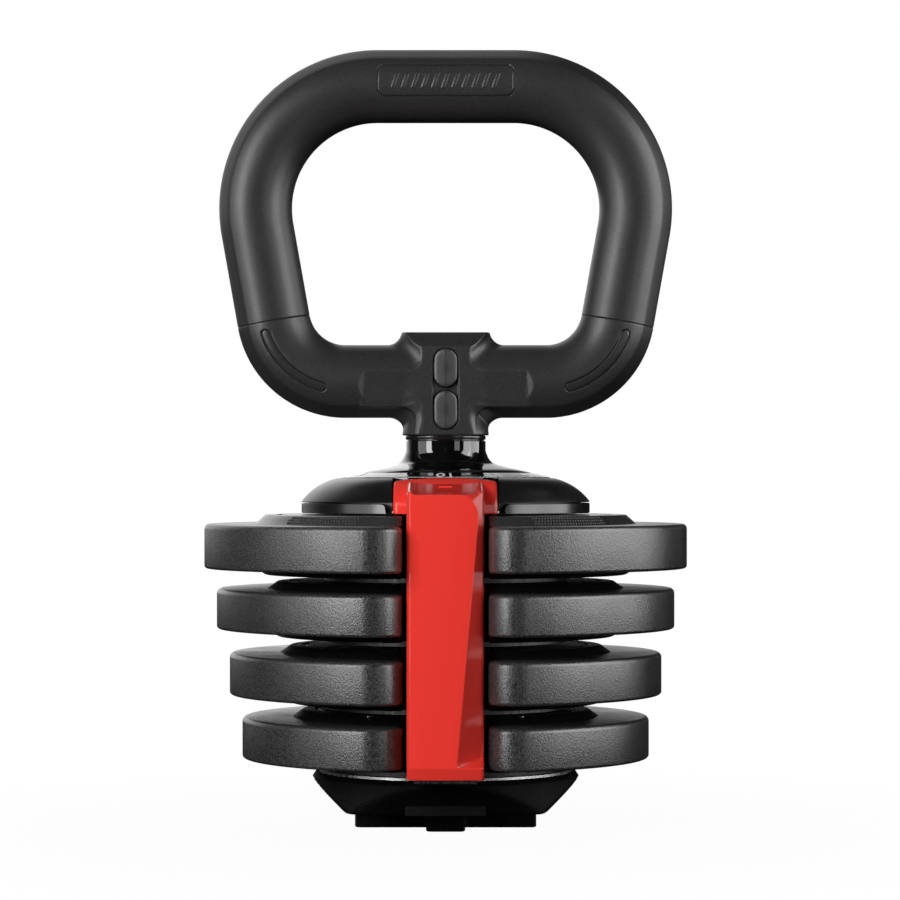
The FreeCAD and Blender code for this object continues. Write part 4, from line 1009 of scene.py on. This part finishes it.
def make_base():
    """The base cover, round at the rim and square at the foot, its key and the sole."""
    turns = np.linspace(0, 2 * math.pi, 320, endpoint=False)
    circle = [(math.cos(turn), math.sin(turn)) for turn in turns]
    rows, rim_low = [], BASE_TOP - 2.3
    square = np.maximum(np.abs(np.cos(turns)), np.abs(np.sin(turns)))
    steps = [(1.2, 0), (0.35, 0.012), (0, 0.05)] + [(0, share) for share in np.linspace(0.1, 1, 12)]
    for inset, share in steps:
        wall = (FOOT_HALF + (RIM - FOOT_HALF) * share) / square
        soft = 6 * (1 - share) + 0.05
        near = np.maximum(soft - np.abs(wall - RIM), 0)
        reach = np.minimum(wall, RIM) - near * near / soft / 4 - inset
        height = BASE_LOW + (rim_low - BASE_LOW) * share
        rows.append(([(x * r, y * r) for (x, y), r in zip(circle, reach)], height))
    rings = [(RIM, rim_low + 0.1), (RIM - 0.25, rim_low + 0.5), (RIM - 1.25, BASE_TOP - 0.25)]
    rings += [(RIM - 1.6, BASE_TOP), (RIM - 3.0, BASE_TOP), (RIM - 3.1, BASE_TOP - 3)]
    rings += [(43, BASE_TOP - 3), (43, BASE_LOW + 3), (13, BASE_LOW + 3), (13, BASE_LOW)]
    for radius, height in rings:
        rows.append(([(x * radius, y * radius) for x, y in circle], height))
    points, faces = loft(stack_loops(rows), wrap=True)
    piece = add_mesh("base", points, faces, "core", ["base_cover"], "base")
    key_slot = [(18.3, -60), (18.3, -44), (-18.3, -44), (-18.3, -60)]
    screws = [rod((x, y), 3.6, BASE_LOW - 1, BASE_LOW + 1.6) for x in (-33, 33) for y in (-33, 33)]
    carve(piece, loft(stack_loops([(key_slot, BASE_LOW - 1), (key_slot, BASE_LOW + 4.75)])), *screws)
    sharpen(piece, 30)
    make_key()
    make_sole()


def make_key():
    """The key plate let into the foot of the base at the front."""
    half, depth, bottom, top = 18.1, 50.7, BASE_LOW + 0.02, BASE_LOW + 4.7
    section = rounded([(-depth, bottom), (-44.2, bottom), (-44.2, top), (-depth + 0.4, top)], 0.5, 4)
    middle_y, middle_z = -47.4, (bottom + top) / 2
    ends = [(-half, 0.5), (-half + 0.15, 0.15), (-half + 0.5, 0)]
    ends += [(-x, shrink) for x, shrink in ends[::-1]]
    loops = []
    for x, shrink in ends:
        loop = []
        for y, z in section:
            y -= math.copysign(shrink, y - middle_y)
            loop.append((x, y, z - math.copysign(shrink, z - middle_z)))
        loops.append(loop)
    points, faces = loft(loops)
    add_mesh("key", points, [face[::-1] for face in faces], "core", ["base_key"], "base", 40)


def make_sole():
    """The cross that the kettlebell stands on, with softened edges."""
    length_x, half_y, width, reach = 41.6, 5.0, 8.9, 24.0
    quarter = [(length_x, half_y), (width, half_y), (width, reach)]
    corners, bends = [], []
    for turn_x, turn_y in ((1, 1), (-1, 1), (-1, -1), (1, -1)):
        points = [(x * turn_x, y * turn_y) for x, y in quarter]
        sizes = [1.6, 2.0, 1.6]
        corners += points if turn_x * turn_y > 0 else points[::-1]
        bends += sizes if turn_x * turn_y > 0 else sizes[::-1]
    rows = []
    for inset, height in ((0.9, 0.0), (0.3, 0.25), (0, 0.8), (0, BASE_LOW - 0.02)):
        moved = []
        for x, y in corners:
            moved.append((x - math.copysign(inset, x), y - math.copysign(inset, y)))
        rows.append((rounded(moved, bends, 5), height))
    points, faces = loft(stack_loops(rows))
    add_mesh("sole", points, faces, "core", ["base_sole"], "base", 35)


# ------------------------------------------------------------------ kept CAD pieces


def dress_frame():
    """Gives every CAD piece that stays its own finish."""
    slots = {part["node"]: part["material_slot"] for part in frame["record"]["subparts"]}
    slots["neck_set_screw"] = "steel_black"
    for node, piece in frame["nodes"].items():
        if not piece.data.materials:
            piece.data.materials.append(None)
        for index in range(len(piece.data.materials)):
            piece.data.materials[index] = FINISH[slots[node]]


# ------------------------------------------------------------------ studio


def soft_light(name, azimuth, distance, height, width, tall, power, mirrored):
    """An area light at an azimuth from the front, which only mirrors in gloss or only lights the rest."""
    light = bpy.data.lights.new(name, "AREA")
    light.shape, light.size, light.size_y, light.energy = "RECTANGLE", width, tall, power
    lamp = bpy.data.objects.new(name, light)
    turn = math.radians(azimuth)
    lamp.location = (distance * math.sin(turn), -distance * math.cos(turn), height)
    lamp.rotation_euler = (Vector((0, 0, 0.17)) - lamp.location).to_track_quat("-Z", "Y").to_euler()
    lamp.visible_glossy = mirrored
    lamp.visible_diffuse = not mirrored
    bpy.context.scene.collection.objects.link(lamp)


def make_world():
    """A room that is white when seen directly, and lights the object from behind and from the left."""
    world = bpy.data.worlds.new("studio")
    bpy.context.scene.world = world
    world.use_nodes = True
    world.node_tree.nodes.clear()
    place = add_node(world, "TexCoord").outputs["Generated"]
    split = add_node(world, "SeparateXYZ", Vector=place)
    rear = remap(world, split.outputs["Y"], 0.40, 0.98, 0.02, 1.4, "SMOOTHSTEP")
    side = remap(world, split.outputs["X"], -0.02, 0.16, 1.0, 0.02, "SMOOTHSTEP")
    both = add_node(world, "Math")
    both.operation = "MULTIPLY"
    for index, share in enumerate((rear, side)):
        world.node_tree.links.new(share, both.inputs[index])
    white = (1, 1, 1, 1)
    light = add_node(world, "Background", Color=white, Strength=both.outputs["Value"])
    seen = add_node(world, "Background", Color=white)
    switch_for_camera(world, "World", light.outputs["Background"], seen.outputs["Background"])


def switch_for_camera(owner, kind, other, seen):
    """Ends a node tree with one shader for camera rays and another for all other rays."""
    mix, links = add_node(owner, "MixShader"), owner.node_tree.links
    links.new(add_node(owner, "LightPath").outputs["Is Camera Ray"], mix.inputs["Fac"])
    links.new(other, mix.inputs[1])
    links.new(seen, mix.inputs[2])
    add_node(owner, "Output" + kind, Surface=mix.outputs["Shader"])


def make_floor():
    """A plain pale floor, which glows for the camera only and lights nothing; its glow is a little dimmer
    round the middle, a painted shade round the object's foot.
    """
    mesh = bpy.data.meshes.new("floor")
    half = 60.0
    corners = [(-half, -half, 0), (half, -half, 0), (half, half, 0), (-half, half, 0)]
    mesh.from_pydata(corners, [], [(0, 1, 2, 3)])
    floor = bpy.data.objects.new("floor", mesh)
    bpy.context.scene.collection.objects.link(floor)
    material = bpy.data.materials.new("floor")
    material.use_nodes = True
    material.node_tree.nodes.clear()
    pale = add_node(material, "BsdfDiffuse", Color=(0.010, 0.010, 0.010, 1)).outputs["BSDF"]
    away = add_node(material, "VectorMath")
    away.operation = "LENGTH"
    place = add_node(material, "TexCoord").outputs["Object"]
    material.node_tree.links.new(place, away.inputs[0])
    # The glow is a little dimmer near the middle, where the object stands: a painted shade on the floor round
    # its foot.
    strength = remap(material, away.outputs["Value"], 0.05, 0.45, 0.97, 1.0, "SMOOTHSTEP")
    glow_with_painted_shade = add_node(material, "Emission", Strength=strength)
    add = add_node(material, "AddShader")
    material.node_tree.links.new(pale, add.inputs[0])
    material.node_tree.links.new(glow_with_painted_shade.outputs["Emission"], add.inputs[1])
    switch_for_camera(material, "Material", pale, add.outputs["Shader"])
    mesh.materials.append(material)


def make_studio():
    """Camera, lights, room and floor."""
    camera = bpy.data.cameras.new("camera")
    camera.lens, camera.sensor_width = 136.0, 36.0
    eye = bpy.data.objects.new("camera", camera)
    eye.location = (0.0020, -1.564, 0.1626)
    eye.rotation_euler = (math.radians(90), 0, 0)
    camera.shift_y = 0.0256
    camera.clip_start = 0.05
    bpy.context.scene.collection.objects.link(eye)
    bpy.context.scene.camera = eye
    bpy.context.scene.view_settings.view_transform = "Standard"
    soft_light("left_card", -49, 1.3, 0.42, 0.38, 1.1, 12.5, True)
    soft_light("left_fade", -72, 1.3, 0.42, 0.66, 1.1, 4.8, True)
    soft_light("right_card", 65, 1.1, 0.42, 0.50, 1.1, 9.5, True)
    soft_light("right_fade", 94, 1.1, 0.42, 0.70, 1.1, 10.5, True)
    soft_light("front_card", 33, 1.5, 0.25, 0.40, 0.7, 1.7, True)
    soft_light("fill", -31, 2.0, 0.78, 1.4, 0.8, 44, False)
    soft_light("right_fill", 42, 2.0, 0.35, 0.9, 0.9, 8, False)
    soft_light("rear_fill", 152, 2.0, 0.85, 1.4, 1.0, 30, False)
    make_world()
    make_floor()


# ------------------------------------------------------------------ everything

dress_frame()
make_grip(-1, "grip_front", "grip_shell_front")
make_grip(1, "grip_back", "grip_shell_back")
make_badge()
make_yoke()
make_inlays()
make_buttons()
make_dial()
make_numbers()
make_shroud()
make_column()
for plate, owner in ((1, "plate_1"), (2, "plate_2"), (3, "core"), (4, "core")):
    make_plate(plate, owner)
make_base()
make_studio()
